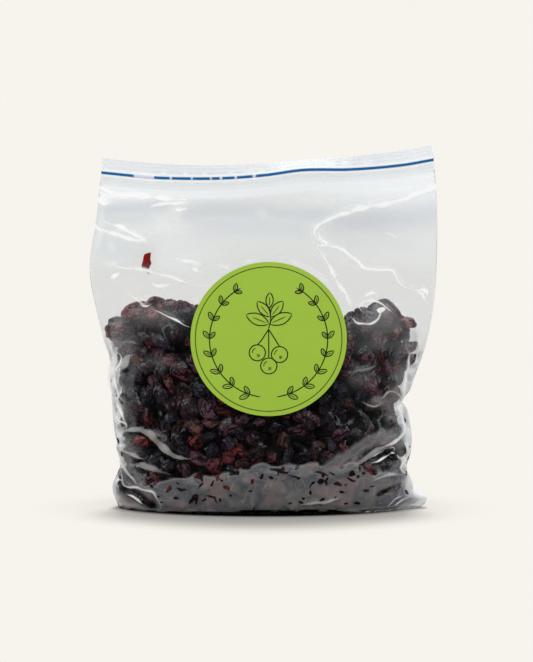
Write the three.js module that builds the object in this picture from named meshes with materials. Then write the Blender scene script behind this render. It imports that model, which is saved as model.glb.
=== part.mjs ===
// A clear zip bag, part filled with dried cranberries, standing on its own slumped base.
// Millimetres, +Z up, the stickered front towards -Y, the floor at Z = 0.
//
// The bag is one closed solid out to its film. Its surface is worked out from two numbers: across,
// from -1 at the left side weld to 1 at the right one, and level, the height that a point of the
// film would have if the closure were straight. The closure above it is three bands one on another,
// the tracks, the coloured line and the mouth's lip, and the sticker lies on the front film.
import * as THREE from "three";
import { mergeVertices } from "three/addons/utils/BufferGeometryUtils.js";

const { clamp, lerp, smoothstep } = THREE.MathUtils;

const FRONT = -1;
const BACK = 1;

// How each edge and bulge of the bag changes with level, as [level, millimetres] stations.
const LEFT_REACH = [
  [0, 84.5], [12, 88], [25, 83.4], [45, 86.6], [62, 88], [88, 89.4],
  [98, 92.4], [114, 96], [140, 99.8], [170, 95.6], [206, 91.8],
];
const RIGHT_REACH = [
  [0, 84], [12, 87], [23, 83.2], [31, 85.3], [41, 86], [52, 84.6], [57.5, 83.2], [62, 80.6],
  [68, 84.8], [75, 87.2], [94, 93.8], [117, 98], [145, 99.2], [174, 98.6], [206, 95.7],
];
const FRONT_DEPTH = [
  [0, 25], [8, 31], [27, 36], [50, 36.5], [75, 35.5], [100, 31],
  [125, 22], [145, 14.5], [165, 8], [180, 3], [189, 0.4],
];
const BACK_DEPTH = [
  [0, 25], [8, 31], [27, 35.5], [50, 36.5], [75, 35.5], [100, 31],
  [120, 22.5], [138, 13], [155, 7], [175, 2.8], [189, 0.4],
];

// How far the side welds lean forward of the middle of the base.
const WELD_LEAN = [[0, 0], [70, 0], [100, 2.5], [125, 7], [145, 10.5], [165, 12.5], [206, 13.5]];

// The height of the coloured line and the level of the fruit's top, as [across, millimetres].
const LINE_HEIGHT = [
  [-1, 195.1], [-0.76, 193.2], [-0.6, 192.4], [-0.25, 192.2], [0, 193.7], [0.22, 196.4],
  [0.5, 197], [0.8, 199.7], [1, 202.9],
];
const HEAP_LEVEL = [
  [-1, 98], [-0.9, 108], [-0.68, 122], [-0.3, 118], [0, 114],
  [0.4, 116], [0.7, 123], [0.88, 112], [1, 98],
];

const FILM_TOP = 189; // level where the film ends and the closure begins
const WELD_HALF_THICKNESS = 0.6; // the two films at a side weld, halved
const GAP = 0.3; // between pieces that touch

// The outline of the bag seen from above: 1 - |across|^roundness, raised to a fullness.
const FILLED_SECTION = { roundness: 2.8, fullness: 0.62 };
const EMPTY_SECTION = { roundness: 2, fullness: 1 };
const SECTION_CHANGE = { from: 60, to: 150 }; // levels

// The closure snakes from front to back, and the film below it follows less and less.
const SNAKE = { reach: 7, turns: 0.72, start: 0.12, from: 112, to: 196 };

// Folds that run in from a side weld: the film dips along a slanting line and fades inwards.
const SIDE_FOLDS = [
  { side: -1, level: 47, slope: 9, depth: 3.2, width: 5, inner: 0.45 },
  { side: -1, level: 27, slope: -4, depth: 2.6, width: 4, inner: 0.5 },
  { side: 1, level: 61, slope: -12, depth: 3.4, width: 5, inner: 0.5 },
  { side: 1, level: 30, slope: 7, depth: 2.8, width: 4.5, inner: 0.4 },
];

// Creases that stand out of the empty film above the fruit, along [x, level] points.
const CREASES = [
  { face: FRONT, height: 2, width: 4.5, path: [[99, 187], [60, 177], [30, 161], [36, 145], [48, 123]] },
  { face: FRONT, height: 1.6, width: 4, path: [[32, 158], [60, 141], [75, 140], [88, 127]] },
  { face: FRONT, height: 1.4, width: 4, path: [[-96, 168], [-79, 159], [-62, 158]] },
  { face: FRONT, height: 1.6, width: 4, path: [[-92, 141], [-72, 140], [-33, 132]] },
  { face: BACK, height: 1.8, width: 4.5, path: [[-97, 176], [-52, 165], [-20, 146], [-26, 120]] },
  { face: BACK, height: 1.5, width: 4, path: [[97, 150], [58, 147], [24, 160]] },
];

// The loose corner of film at the foot of the right side weld, cut off square.
const EAR = { level: 3.6, height: 4.7, reach: 9.4, inner: 0.93 };

// The fruit that presses on the film from inside. Its relief fades out at the heap's top, at the
// side welds, at the floor and under the sticker.
const FRUIT = { pitch: 11.5, radius: 6.8, relief: 1.5, unevenness: 0.7, sizeSpread: 0.4 };
const FRUIT_FADE = { top: 9, weld: 0.12, floor: 6 };
const WELD_SHARE = 0.95; // across, where the fruit's relief is gone

// The sticker. The film slopes under it, so it reaches a little less far up and down than sideways.
const LABEL = {
  radius: 44.4, x: 2.9, z: 101.7, upShare: 0.975, thickness: 0.4, rings: 7, sides: 36, calm: 5,
};

// The closure's sections: through the film, and upwards from the closure's foot.
const CLOSURE = { film: 0.6, rib: 0.95, ribWidth: 0.6 };
const TRACK_BAND = { from: 0.3, to: 5.7, ribs: [1.3, 3.6] };
const LINE_BAND = { from: 6, to: 7.4 };
const LIP_BAND = { from: 7.7, to: 15, ribs: [9.2, 11] };
const LINE_ABOVE_FOOT = (LINE_BAND.from + LINE_BAND.to) / 2;

// How far back the lip leans over the line, as [across, degrees], and how softly it bends there.
const LIP_LEAN = [[-0.9, 0], [-0.5, 20], [-0.1, 32], [0.18, 50], [0.35, 46], [0.6, 22], [0.85, 0]];
const LIP_BEND = 1;

// How finely each solid is divided.
const BAG_STEPS = { across: 46, through: 2, up: 50 };
const CLOSURE_STEPS = 32;
const LEVEL_CORRECTIONS = 6;

const FILM_COLOUR = new THREE.Color(0xd8dcde);
const FRUIT_COLOUR = new THREE.Color(0x35191f);
const LABEL_COLOUR = new THREE.Color(0x9abb43);
const LINE_COLOUR = new THREE.Color(0x1458a4);

// A smooth curve through stations, with each slope taken from the stations on either side.
function along(stations, at) {
  const last = stations.length - 1;
  const place = clamp(at, stations[0][0], stations[last][0]);
  const next = stations.findIndex(([start], k) => k > 0 && place <= start);
  const slope = (k) => {
    const before = stations[Math.max(k - 1, 0)];
    const after = stations[Math.min(k + 1, last)];
    return (after[1] - before[1]) / (after[0] - before[0]);
  };
  const [x0, y0] = stations[next - 1];
  const [x1, y1] = stations[next];
  const t = (place - x0) / (x1 - x0);
  const rise = t * t * (3 - 2 * t);
  const leaving = t * (1 - t) * (1 - t) * slope(next - 1);
  const arriving = t * t * (t - 1) * slope(next);
  return lerp(y0, y1, rise) + (x1 - x0) * (leaving + arriving);
}

// A rounded ridge, 1 along its middle and fading out over its width.
function ridge(distance, width) {
  return Math.exp(-Math.pow(distance / width, 2));
}

function distanceToPath(x, level, path) {
  let nearest = Infinity;
  for (let i = 1; i < path.length; i++) {
    const [x0, level0] = path[i - 1];
    const [runX, runLevel] = [path[i][0] - x0, path[i][1] - level0];
    const share = ((x - x0) * runX + (level - level0) * runLevel) / (runX ** 2 + runLevel ** 2);
    const t = clamp(share, 0, 1);
    nearest = Math.min(nearest, Math.hypot(x - x0 - t * runX, level - level0 - t * runLevel));
  }
  return nearest;
}

// How much of the bag's depth is left at a place across it.
function sectionShare(across, level) {
  const change = smoothstep(level, SECTION_CHANGE.from, SECTION_CHANGE.to);
  const roundness = lerp(FILLED_SECTION.roundness, EMPTY_SECTION.roundness, change);
  const fullness = lerp(FILLED_SECTION.fullness, EMPTY_SECTION.fullness, change);
  return Math.pow(Math.max(0, 1 - Math.pow(Math.abs(across), roundness)), fullness);
}

function closureFoot(across) {
  return along(LINE_HEIGHT, across) - LINE_ABOVE_FOOT;
}

// The true height of a point: the closure's slant is shared out over the film, mostly near its top.
function heightOf(across, level) {
  const share = Math.pow(clamp(level / FILM_TOP, 0, 1), 3);
  return level + (closureFoot(across) - FILM_TOP) * share;
}

function middleAndReach(level) {
  const left = along(LEFT_REACH, level);
  const right = along(RIGHT_REACH, level);
  return { middle: (right - left) / 2, reach: (right + left) / 2 };
}

function sideways(across, level) {
  const { middle, reach } = middleAndReach(level);
  const fromEar = Math.abs(level - EAR.level) / EAR.height;
  const ear = EAR.reach * smoothstep(across, EAR.inner, 1) * Math.exp(-Math.pow(fromEar, 4));
  return middle + reach * across + ear;
}

function weldPlane(across, level) {
  const snake = SNAKE.reach * Math.sin(2 * Math.PI * (SNAKE.turns * across + SNAKE.start));
  return snake * smoothstep(level, SNAKE.from, SNAKE.to) - along(WELD_LEAN, level);
}

function sideFoldDip(across, level) {
  let dip = 0;
  for (const fold of SIDE_FOLDS) {
    const outward = across * fold.side;
    const middle = fold.level + fold.slope * (1 - outward);
    dip += fold.depth * ridge(level - middle, fold.width) * smoothstep(outward, fold.inner, 0.9);
  }
  return dip;
}

function creaseHeight(across, level, face) {
  const x = sideways(across, level);
  let height = 0;
  for (const crease of CREASES.filter((each) => each.face === face)) {
    const near = ridge(distanceToPath(x, level, crease.path), crease.width);
    height = Math.max(height, crease.height * near);
  }
  return height * smoothstep(FILM_TOP - level, 0, 10);
}

// A repeatable number from 0 to 1 for one cell of the fruit's pattern.
function cellNumber(column, row, salt) {
  const mixed = Math.sin(column * 127.1 + row * 311.7 + salt * 74.7) * 43758.5453;
  return mixed - Math.floor(mixed);
}

// Low domes at uneven places, one for each fruit that touches the film, from 0 to about 1.
function fruitDomes(x, level, face) {
  const rowHeight = FRUIT.pitch * Math.sin(Math.PI / 3);
  const middleRow = Math.round(level / rowHeight);
  const middleColumn = Math.round(x / FRUIT.pitch);
  const jitter = (column, row, salt) => FRUIT.unevenness * (cellNumber(column, row, salt) - 0.5);
  let highest = 0;
  for (let row = middleRow - 2; row <= middleRow + 2; row++) {
    for (let column = middleColumn - 2; column <= middleColumn + 2; column++) {
      const fruitX = (column + (row % 2) / 2 + jitter(column, row, face)) * FRUIT.pitch;
      const fruitLevel = (row + jitter(column, row, face + 3)) * rowHeight;
      const size = 1 + FRUIT.sizeSpread * (cellNumber(column, row, face + 6) - 0.5);
      const away = Math.hypot(x - fruitX, level - fruitLevel) / (FRUIT.radius * size);
      highest = Math.max(highest, (1 - away * away) * size);
    }
  }
  return highest;
}

function fruitRelief(across, level, face) {
  const x = sideways(across, level);
  const buried = smoothstep(along(HEAP_LEVEL, across) - level, 0, FRUIT_FADE.top);
  const inside = smoothstep(WELD_SHARE - Math.abs(across), 0, FRUIT_FADE.weld);
  const raised = smoothstep(level, 0, FRUIT_FADE.floor);
  const fromLabel = Math.hypot(x - LABEL.x, level - LABEL.z) - LABEL.radius;
  const clear = face === FRONT ? smoothstep(fromLabel, LABEL.calm, 2 * LABEL.calm) : 1;
  return FRUIT.relief * buried * inside * raised * clear * fruitDomes(x, level, face);
}

// The y of the film at the front or the back of the bag.
function filmPlane(across, level, face) {
  const depth = along(face === FRONT ? FRONT_DEPTH : BACK_DEPTH, level);
  const share = sectionShare(across, level);
  const awayFromWeld = Math.min(1, 4 * share);
  const folds = (creaseHeight(across, level, face) - sideFoldDip(across, level)) * awayFromWeld;
  const out = WELD_HALF_THICKNESS + Math.max(0, depth * share + folds);
  return weldPlane(across, level) + face * (out + fruitRelief(across, level, face));
}

// The front film's y at a true x and height, found by trying a level and correcting it.
function frontAt(x, z) {
  let level = z;
  let across = 0;
  for (let i = 0; i < LEVEL_CORRECTIONS; i++) {
    const { middle, reach } = middleAndReach(level);
    across = (x - middle) / reach;
    level += z - heightOf(across, level);
  }
  return filmPlane(across, level, FRONT);
}

// Moves every vertex of a closed geometry, then joins the vertices that share a place.
function shaped(geometry, place, paint) {
  geometry.deleteAttribute("normal");
  geometry.deleteAttribute("uv");
  const points = geometry.getAttribute("position");
  const colours = [];
  for (let i = 0; i < points.count; i++) {
    const plain = [points.getX(i), points.getY(i), points.getZ(i)];
    points.setXYZ(i, ...place(...plain));
    colours.push(...(paint ? paint(...plain).toArray() : []));
  }
  if (paint) {
    geometry.setAttribute("color", new THREE.Float32BufferAttribute(colours, 3));
  }
  const merged = mergeVertices(geometry, 1e-4);
  merged.computeVertexNormals();
  return merged;
}

function named(name, geometry, finish) {
  const mesh = new THREE.Mesh(geometry, new THREE.MeshStandardMaterial(finish));
  mesh.name = name;
  return mesh;
}

// The filled bag: a box whose faces are drawn out to the front film, the back film and the base.
function filledBag() {
  const { across: columns, through: layers, up: rows } = BAG_STEPS;
  const box = new THREE.BoxGeometry(2, 2, FILM_TOP, columns, layers, rows);
  const levelOf = (up) => up + FILM_TOP / 2;
  const place = (across, through, up) => {
    const level = levelOf(up);
    const front = filmPlane(across, level, FRONT);
    const back = filmPlane(across, level, BACK);
    return [sideways(across, level), lerp(front, back, (through + 1) / 2), heightOf(across, level)];
  };
  const paint = (across, through, up) =>
    levelOf(up) < along(HEAP_LEVEL, across) ? FRUIT_COLOUR : FILM_COLOUR;
  const finish = { vertexColors: true, roughness: 0.15, metalness: 0 };
  return named("bag", shaped(box, place, paint), finish);
}

// Where a height above the closure's foot lies once the lip leans back, as { back, up }.
function leaned(across, above) {
  const lean = THREE.MathUtils.degToRad(along(LIP_LEAN, across));
  const over = Math.max(0, above - LINE_ABOVE_FOOT);
  const bent = Math.hypot(over, LIP_BEND) - LIP_BEND;
  return { back: bent * Math.sin(lean), up: above - bent * (1 - Math.cos(lean)) };
}

// A band of the closure: its section, swept from one side weld to the other.
function closureBand(name, face, finish) {
  const otherFace = face.map(([through, above]) => [-through, above]).reverse();
  const outline = [...face, ...otherFace].map((point) => new THREE.Vector2(...point));
  const sweep = new THREE.ExtrudeGeometry(new THREE.Shape(outline), {
    depth: 2,
    steps: CLOSURE_STEPS,
    bevelEnabled: false,
  });
  const geometry = shaped(sweep, (through, above, run) => {
    const across = run - 1;
    const level = FILM_TOP + above;
    const { back, up } = leaned(across, above);
    const y = weldPlane(across, level) + through + back;
    return [sideways(across, level), y, closureFoot(across) + up];
  });
  return named(name, geometry, finish);
}

// One face of a flat band with pointed ribs, as [through, above] points.
function ribbedFace({ from, to, ribs }) {
  const face = [[CLOSURE.film, from]];
  for (const rib of ribs) {
    face.push([CLOSURE.film, rib - CLOSURE.ribWidth]);
    face.push([CLOSURE.rib, rib]);
    face.push([CLOSURE.film, rib + CLOSURE.ribWidth]);
  }
  face.push([CLOSURE.film, to]);
  return face;
}

// One face of the coloured bead, which is as thick as the ribs and has its corners taken off.
function beadFace({ from, to }) {
  const corner = (to - from) / 4;
  return [
    [CLOSURE.film, from],
    [CLOSURE.rib, from + corner],
    [CLOSURE.rib, to - corner],
    [CLOSURE.film, to],
  ];
}

// The round sticker: a thin disc that bends with the front film.
function label() {
  const ringRadius = (ring) => (LABEL.radius * ring) / LABEL.rings;
  const rings = Array.from({ length: LABEL.rings + 1 }, (_, ring) => ringRadius(ring));
  const profile = [
    ...rings.map((radius) => new THREE.Vector2(radius, LABEL.thickness)),
    ...rings.reverse().map((radius) => new THREE.Vector2(radius, 0)),
  ];
  const disc = new THREE.LatheGeometry(profile, LABEL.sides);
  const geometry = shaped(disc, (right, out, up) => {
    const x = LABEL.x + right;
    const z = LABEL.z + LABEL.upShare * up;
    return [x, frontAt(x, z) - GAP - out, z];
  });
  return named("label", geometry, { color: LABEL_COLOUR, roughness: 0.45, metalness: 0 });
}

const filmFinish = { color: FILM_COLOUR, roughness: 0.15, metalness: 0 };
const lineFinish = { color: LINE_COLOUR, roughness: 0.3, metalness: 0 };

const cranberryBag = new THREE.Group();
cranberryBag.add(filledBag());
cranberryBag.add(closureBand("zip_tracks", ribbedFace(TRACK_BAND), filmFinish));
cranberryBag.add(closureBand("zip_line", beadFace(LINE_BAND), lineFinish));
cranberryBag.add(closureBand("mouth_lip", ribbedFace(LIP_BAND), filmFinish));
cranberryBag.add(label());

export default cranberryBag;
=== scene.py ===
"""Looks of a clear zip bag part filled with dried cranberries, standing on its slumped base.

The bag's form is worked out in millimetres, as its frame is, and every mesh is written in metres.
The stickered front faces -Y, +Z is up, and the floor is at Z = 0.
"""
import logging
import math
from dataclasses import dataclass, field
from enum import Enum
from typing import Any, Callable

import bmesh
import bpy
import numpy as np
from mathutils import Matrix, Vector
from mathutils.bvhtree import BVHTree

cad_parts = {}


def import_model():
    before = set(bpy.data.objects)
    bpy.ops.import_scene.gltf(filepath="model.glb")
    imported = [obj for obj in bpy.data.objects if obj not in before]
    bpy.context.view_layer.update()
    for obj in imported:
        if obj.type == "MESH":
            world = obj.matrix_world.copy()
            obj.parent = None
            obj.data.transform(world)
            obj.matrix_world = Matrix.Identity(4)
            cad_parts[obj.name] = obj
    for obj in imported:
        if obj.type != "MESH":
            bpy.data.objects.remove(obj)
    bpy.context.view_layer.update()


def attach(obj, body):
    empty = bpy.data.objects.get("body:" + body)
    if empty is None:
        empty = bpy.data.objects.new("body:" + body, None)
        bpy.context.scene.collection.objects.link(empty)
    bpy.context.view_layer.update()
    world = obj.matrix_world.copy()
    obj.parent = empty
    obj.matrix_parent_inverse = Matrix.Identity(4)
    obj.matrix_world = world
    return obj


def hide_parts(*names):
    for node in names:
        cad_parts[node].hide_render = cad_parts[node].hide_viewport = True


MM = 0.001
MERGED = 0.01
BODY = "root"
FILM_VALUES = ("haze", "milk", "shade", "grip", "painted_shadow")
LOG = logging.getLogger("cranberry_bag")
Array = np.ndarray
Colour = tuple[float, float, float, float]
Span = tuple[float, float]
Pairs = tuple[Span, ...]
Path = tuple[Span, ...]
Spots = tuple[tuple[float, float, float, float, float], ...]
BLACK: Colour = (0, 0, 0, 1)
WHITE: Colour = (1, 1, 1, 1)


class Face(Enum):
    """The two large faces of the bag, by the sign of the y that they look along."""

    FRONT = -1
    BACK = 1


class Kind(Enum):
    """The kinds of fruit that lie on the outside of the heap."""

    BLACK = "black"
    SLATE = "slate"
    PLUM = "plum"
    WINE = "wine"
    RUBY = "ruby"
    RUSSET = "russet"
    ROSE = "rose"


def smoothstep(value: Array, low: float, high: float) -> Array:
    """A smooth rise from 0 to 1 between two values."""
    t = np.clip((value - low) / (high - low), 0, 1)
    return t * t * (3 - 2 * t)


def between(value: Array, start: float, full: float, fading: float, end: float) -> Array:
    """A smooth rise from 0 to 1 between two values, and the fall back to 0 between two more."""
    return smoothstep(value, start, full) * (1 - smoothstep(value, fading, end))


def ridge(distance: Array, width: float) -> Array:
    """A rounded ridge, 1 along its middle and fading out over its width."""
    return np.exp(-((distance / width) ** 2))


def plateau(distance: Array, width: float, edge: float = 4) -> Array:
    """A flat-topped ridge, whose sides are steeper the higher its edge."""
    return np.exp(-((distance / width) ** edge))


def away_from_ends(along: Array, fade: float) -> Array:
    """1 along the middle of a path, and a smooth fall to 0 over a share of it at each end."""
    return smoothstep(along, 0, fade) * smoothstep(1 - along, 0, fade)


def spot_total(x: Array, z: Array, spots: Spots) -> Array:
    """The sum of soft oval spots, each with an x, a z, two half widths and a strength.

    Args:
        x: The points' x, in millimetres.
        z: The points' z, in millimetres.
        spots: The spots.

    Returns:
        The sum at each point.
    """
    total = np.zeros_like(x)
    for middle_x, middle_z, half_x, half_z, strength in spots:
        total += strength * ridge(np.hypot((x - middle_x) / half_x, (z - middle_z) / half_z), 1)
    return total


def unit(vectors: Array) -> Array:
    """Vectors along the last axis, made one long."""
    return vectors / np.maximum(np.linalg.norm(vectors, axis=-1, keepdims=True), 1e-9)


def left_of(directions: Array) -> Array:
    """Flat directions turned a quarter turn to their left."""
    return np.stack([-directions[:, 1], directions[:, 0]], axis=1)


def linear(red: float, green: float, blue: float, dimmed: float = 1) -> Colour:
    """A colour seen on a screen, from 0 to 255, as the light values that shaders take.

    Args:
        red: Its red.
        green: Its green.
        blue: Its blue.
        dimmed: What its light is multiplied by.

    Returns:
        The colour, with an alpha of 1.
    """
    shares = np.array([red, green, blue]) / 255
    light = np.where(shares < 0.04045, shares / 12.92, ((shares + 0.055) / 1.055) ** 2.4)
    return (*(float(value) * dimmed for value in light), 1)


SURROUND = linear(247, 243, 237)


def path_place(x: Array, z: Array, path: Path) -> tuple[Array, Array]:
    """Where points of a face lie against a line of straight pieces.

    Args:
        x: The points' x, in millimetres.
        z: The points' z, in millimetres.
        path: The line's points, as (x, z).

    Returns:
        The distance from each point to the line, and how far along the line that is, from 0 to 1.
    """
    nearest = np.full(np.shape(x), np.inf)
    along = np.zeros(np.shape(x))
    for piece, ((x0, z0), (x1, z1)) in enumerate(zip(path, path[1:])):
        run_x, run_z = x1 - x0, z1 - z0
        t = np.clip(((x - x0) * run_x + (z - z0) * run_z) / (run_x**2 + run_z**2), 0, 1)
        away = np.hypot(x - x0 - t * run_x, z - z0 - t * run_z)
        closer = away < nearest
        nearest = np.where(closer, away, nearest)
        along = np.where(closer, (piece + t) / (len(path) - 1), along)
    return nearest, along


def smooth_line(path: Path, spacing: float) -> Array:
    """Points at an even spacing along a smooth line through a path's points.

    Args:
        path: The points that the line runs through.
        spacing: About how far apart its points are.

    Returns:
        The line's points, with the path's own two ends.
    """
    points = np.array(path)
    ends = np.concatenate([2 * points[:1] - points[1:2], points, 2 * points[-1:] - points[-2:-1]])
    line = []
    for before, first, second, after in zip(ends, ends[1:], ends[2:], ends[3:]):
        count = max(2, round(float(np.linalg.norm(second - first)) / spacing))
        t = np.linspace(0, 1, count, endpoint=False)[:, None]
        leaving, arriving = (second - before) / 2, (after - first) / 2
        rise = t * t * (3 - 2 * t)
        line.append(
            first + (second - first) * rise + t * (1 - t) ** 2 * leaving + t * t * (t - 1) * arriving
        )
    return np.concatenate([*line, points[-1:]])


def ripples(
    points: Array, rng: np.random.Generator, wavelength: float, waves: int = 14, lengths: Span = (0.7, 1.4)
) -> Array:
    """A random smooth field, made of plane waves, with a spread of about 1.

    Args:
        points: The places, with their coordinates along the last axis.
        rng: The source of the waves' directions and phases.
        wavelength: The mean length of a wave, in the points' unit.
        waves: How many waves are added up.
        lengths: The shares of the mean length that their lengths lie between.

    Returns:
        The field at each place.
    """
    total = np.zeros(points.shape[:-1])
    for _ in range(waves):
        direction = unit(rng.normal(size=points.shape[-1]))
        pace = 2 * math.pi / (wavelength * rng.uniform(*lengths))
        total += np.sin(points @ (direction * pace) + rng.uniform(0, 2 * math.pi))
    return total * math.sqrt(2 / waves)


@dataclass(frozen=True)
class Stations:
    """A smooth curve through (place, value) stations, flat beyond its two ends."""

    points: Pairs

    def at(self, place: Array) -> Array:
        """The curve's value at each place.

        Args:
            place: The places.

        Returns:
            The value at each of them.
        """
        places, values = np.array(self.points).T
        order = np.arange(len(places))
        before = np.maximum(order - 1, 0)
        after = np.minimum(order + 1, order[-1])
        slopes = (values[after] - values[before]) / (places[after] - places[before])
        spot = np.clip(place, places[0], places[-1])
        high = np.clip(np.searchsorted(places, spot), 1, order[-1])
        low = high - 1
        width = places[high] - places[low]
        t = (spot - places[low]) / width
        rise = t * t * (3 - 2 * t)
        leaving = t * (1 - t) ** 2 * slopes[low]
        arriving = t * t * (t - 1) * slopes[high]
        return values[low] + (values[high] - values[low]) * rise + width * (leaving + arriving)


@dataclass(frozen=True)
class SideFold:
    """A fold that runs in from a side weld, where the film dips along a slanting line."""

    side: int
    level: float
    slope: float
    depth: float
    width: float
    inner: float


@dataclass(frozen=True)
class Crease:
    """A crest that the film stands up to along a line of true (x, z) points.

    Height and width shape the film. Line is the width of the painted highlight along the crest, shine is how
    white that highlight is, and ends are the shares of its width left at both ends.
    """

    height: float
    width: float
    line: float
    shine: float
    path: Path
    ends: Span = (0.1, 0.1)


@dataclass(frozen=True)
class BagForm:
    """The bag's smooth form in millimetres, worked out from two numbers.

    Across runs from -1 at the left side weld to 1 at the right one. Level is the height that a
    point of the film would have if the closure were straight.
    """

    left_reach: Stations = Stations((
        (0, 84.5), (12, 88), (25, 83.4), (45, 86.6), (62, 88), (88, 89.4),
        (98, 92.4), (114, 96), (140, 99.8), (170, 95.6), (206, 91.8),
    ))
    right_reach: Stations = Stations((
        (0, 84), (12, 87), (23, 83.2), (31, 85.3), (41, 86), (52, 84.6), (57.5, 83.2), (62, 80.6),
        (68, 84.8), (75, 87.2), (94, 93.8), (117, 98), (145, 99.2), (174, 98.6), (206, 95.7),
    ))
    front_depth: Stations = Stations((
        (0, 25), (8, 31), (27, 36), (50, 36.5), (75, 35.5), (100, 31),
        (125, 22), (145, 14.5), (165, 8), (180, 3), (189, 0.4),
    ))
    back_depth: Stations = Stations((
        (0, 25), (8, 31), (27, 35.5), (50, 36.5), (75, 35.5), (100, 31),
        (120, 22.5), (138, 13), (155, 7), (175, 2.8), (189, 0.4),
    ))
    weld_lean: Stations = Stations((
        (0, 0), (70, 0), (100, 2.5), (125, 7), (145, 10.5), (165, 12.5), (206, 13.5),
    ))
    line_height: Stations = Stations((
        (-1, 195.1), (-0.76, 193.2), (-0.6, 192.4), (-0.25, 192.2), (0, 193.7), (0.22, 196.4),
        (0.5, 197), (0.8, 199.7), (1, 202.9),
    ))
    lip_lean: Stations = Stations((
        (-0.9, 0), (-0.5, 20), (-0.1, 32), (0.18, 50), (0.35, 46), (0.6, 22), (0.85, 0),
    ))
    lip_bend: float = 1
    heap_level: Stations = Stations((
        (-0.97, 98), (-0.9, 108), (-0.78, 118.5), (-0.62, 121.5), (-0.4, 118), (0, 112),
        (0.46, 108), (0.56, 112.5), (0.62, 118), (0.68, 122), (0.75, 118), (0.82, 109), (0.92, 102),
        (0.97, 94),
    ))
    top_power: float = 3
    film_top: float = 189
    line_above_foot: float = 6.7
    closure_height: float = 15
    weld_half: float = 0.6
    round_section: Span = (2.8, 0.62)
    flat_section: Span = (2.0, 1.0)
    section_change: Span = (60, 150)
    snake_reach: float = 7
    snake_turns: float = 0.72
    snake_start: float = 0.12
    snake_levels: Span = (112, 196)
    ear_level: float = 3.6
    ear_height: float = 4.7
    ear_reach: float = 9.4
    ear_inner: float = 0.93
    fold_full: float = 0.9
    fold_fade: float = 4
    corrections: int = 5
    folds: tuple[SideFold, ...] = (
        SideFold(-1, 47, 9, 3.2, 5, 0.45),
        SideFold(-1, 27, -4, 2.6, 4, 0.5),
        SideFold(1, 61, -12, 3.4, 5, 0.5),
        SideFold(1, 30, 7, 2.8, 4.5, 0.4),
    )

    def section_share(self, across: Array, level: Array) -> Array:
        """How much of the bag's depth is left at a place across it.

        Args:
            across: How far across the bag the points lie, from -1 to 1.
            level: The points' level.

        Returns:
            The share, from 1 in the middle to 0 at the welds.
        """
        change = smoothstep(level, *self.section_change)
        roundness, fullness = (
            first + (last - first) * change
            for first, last in zip(self.round_section, self.flat_section)
        )
        return np.maximum(0, 1 - np.abs(across) ** roundness) ** fullness

    def closure_foot(self, across: Array) -> Array:
        """The height where the film ends and the closure begins."""
        return self.line_height.at(across) - self.line_above_foot

    def height_of(self, across: Array, level: Array) -> Array:
        """The true height of a point of the film."""
        share = np.clip(level / self.film_top, 0, 1) ** self.top_power
        return level + (self.closure_foot(across) - self.film_top) * share

    def middle_and_reach(self, level: Array) -> tuple[Array, Array]:
        """The x midway between the side welds, and half the way from one to the other."""
        left, right = self.left_reach.at(level), self.right_reach.at(level)
        return (right - left) / 2, (right + left) / 2

    def sideways(self, across: Array, level: Array) -> Array:
        """The x of a point of the film, with the loose corner at the foot of the right weld."""
        middle, reach = self.middle_and_reach(level)
        ear = smoothstep(across, self.ear_inner, 1) * plateau(level - self.ear_level, self.ear_height)
        return middle + reach * across + self.ear_reach * ear

    def leaned(self, across: Array, above: Array) -> tuple[Array, Array]:
        """How far back, and how high above the closure's foot, the leaning lip puts a height.

        Args:
            across: How far across the bag the points lie, from -1 to 1.
            above: Heights above the closure's foot, in millimetres.

        Returns:
            How far back and how high the points are, in millimetres.
        """
        lean = np.radians(self.lip_lean.at(across))
        over = np.maximum(0, above - self.line_above_foot)
        bent = np.hypot(over, self.lip_bend) - self.lip_bend
        return bent * np.sin(lean), above - bent * (1 - np.cos(lean))

    def weld_plane(self, across: Array, level: Array) -> Array:
        """The y midway between the front film and the back film."""
        turn = 2 * math.pi * (self.snake_turns * across + self.snake_start)
        snake = self.snake_reach * np.sin(turn) * smoothstep(level, *self.snake_levels)
        return snake - self.weld_lean.at(level)

    def side_fold_dip(self, across: Array, level: Array) -> Array:
        """How far the folds at the side welds pull the film in.

        Args:
            across: How far across the bag the points lie, from -1 to 1.
            level: The points' level.

        Returns:
            The dip at each point, in millimetres.
        """
        dip = np.zeros(np.shape(across))
        for fold in self.folds:
            outward = across * fold.side
            middle = fold.level + fold.slope * (1 - outward)
            reach = smoothstep(outward, fold.inner, self.fold_full)
            dip += fold.depth * ridge(level - middle, fold.width) * reach
        return dip

    def half_depth(self, across: Array, level: Array, face: Face) -> Array:
        """How far the film stands from the weld plane, without its creases.

        Args:
            across: How far across the bag the points lie, from -1 to 1.
            level: The points' level.
            face: The face of the bag.

        Returns:
            The distance at each point, in millimetres.
        """
        depth = (self.front_depth if face is Face.FRONT else self.back_depth).at(level)
        share = self.section_share(across, level)
        dips = self.side_fold_dip(across, level) * np.minimum(1, self.fold_fade * share)
        return np.maximum(0, depth * share - dips)

    def film_plane(self, across: Array, level: Array, face: Face) -> Array:
        """The y of the smooth film at the front or the back."""
        out = self.weld_half + self.half_depth(across, level, face)
        return self.weld_plane(across, level) + face.value * out

    def across_and_level(self, x: Array, z: Array) -> tuple[Array, Array]:
        """The across and level of a true x and height, found by correcting a first guess.

        Args:
            x: The points' x, in millimetres.
            z: The points' z, in millimetres.

        Returns:
            The across and the level of each point.
        """
        level = np.array(z, float)
        across = np.zeros(np.shape(x))
        for _ in range(self.corrections):
            middle, reach = self.middle_and_reach(level)
            across = (x - middle) / reach
            level = level + z - self.height_of(across, level)
        return across, level

    def plane_at(self, x: Array, z: Array, face: Face) -> Array:
        """The y of the smooth film at a true x and height."""
        across, level = self.across_and_level(x, z)
        return self.film_plane(across, level, face)


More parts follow.
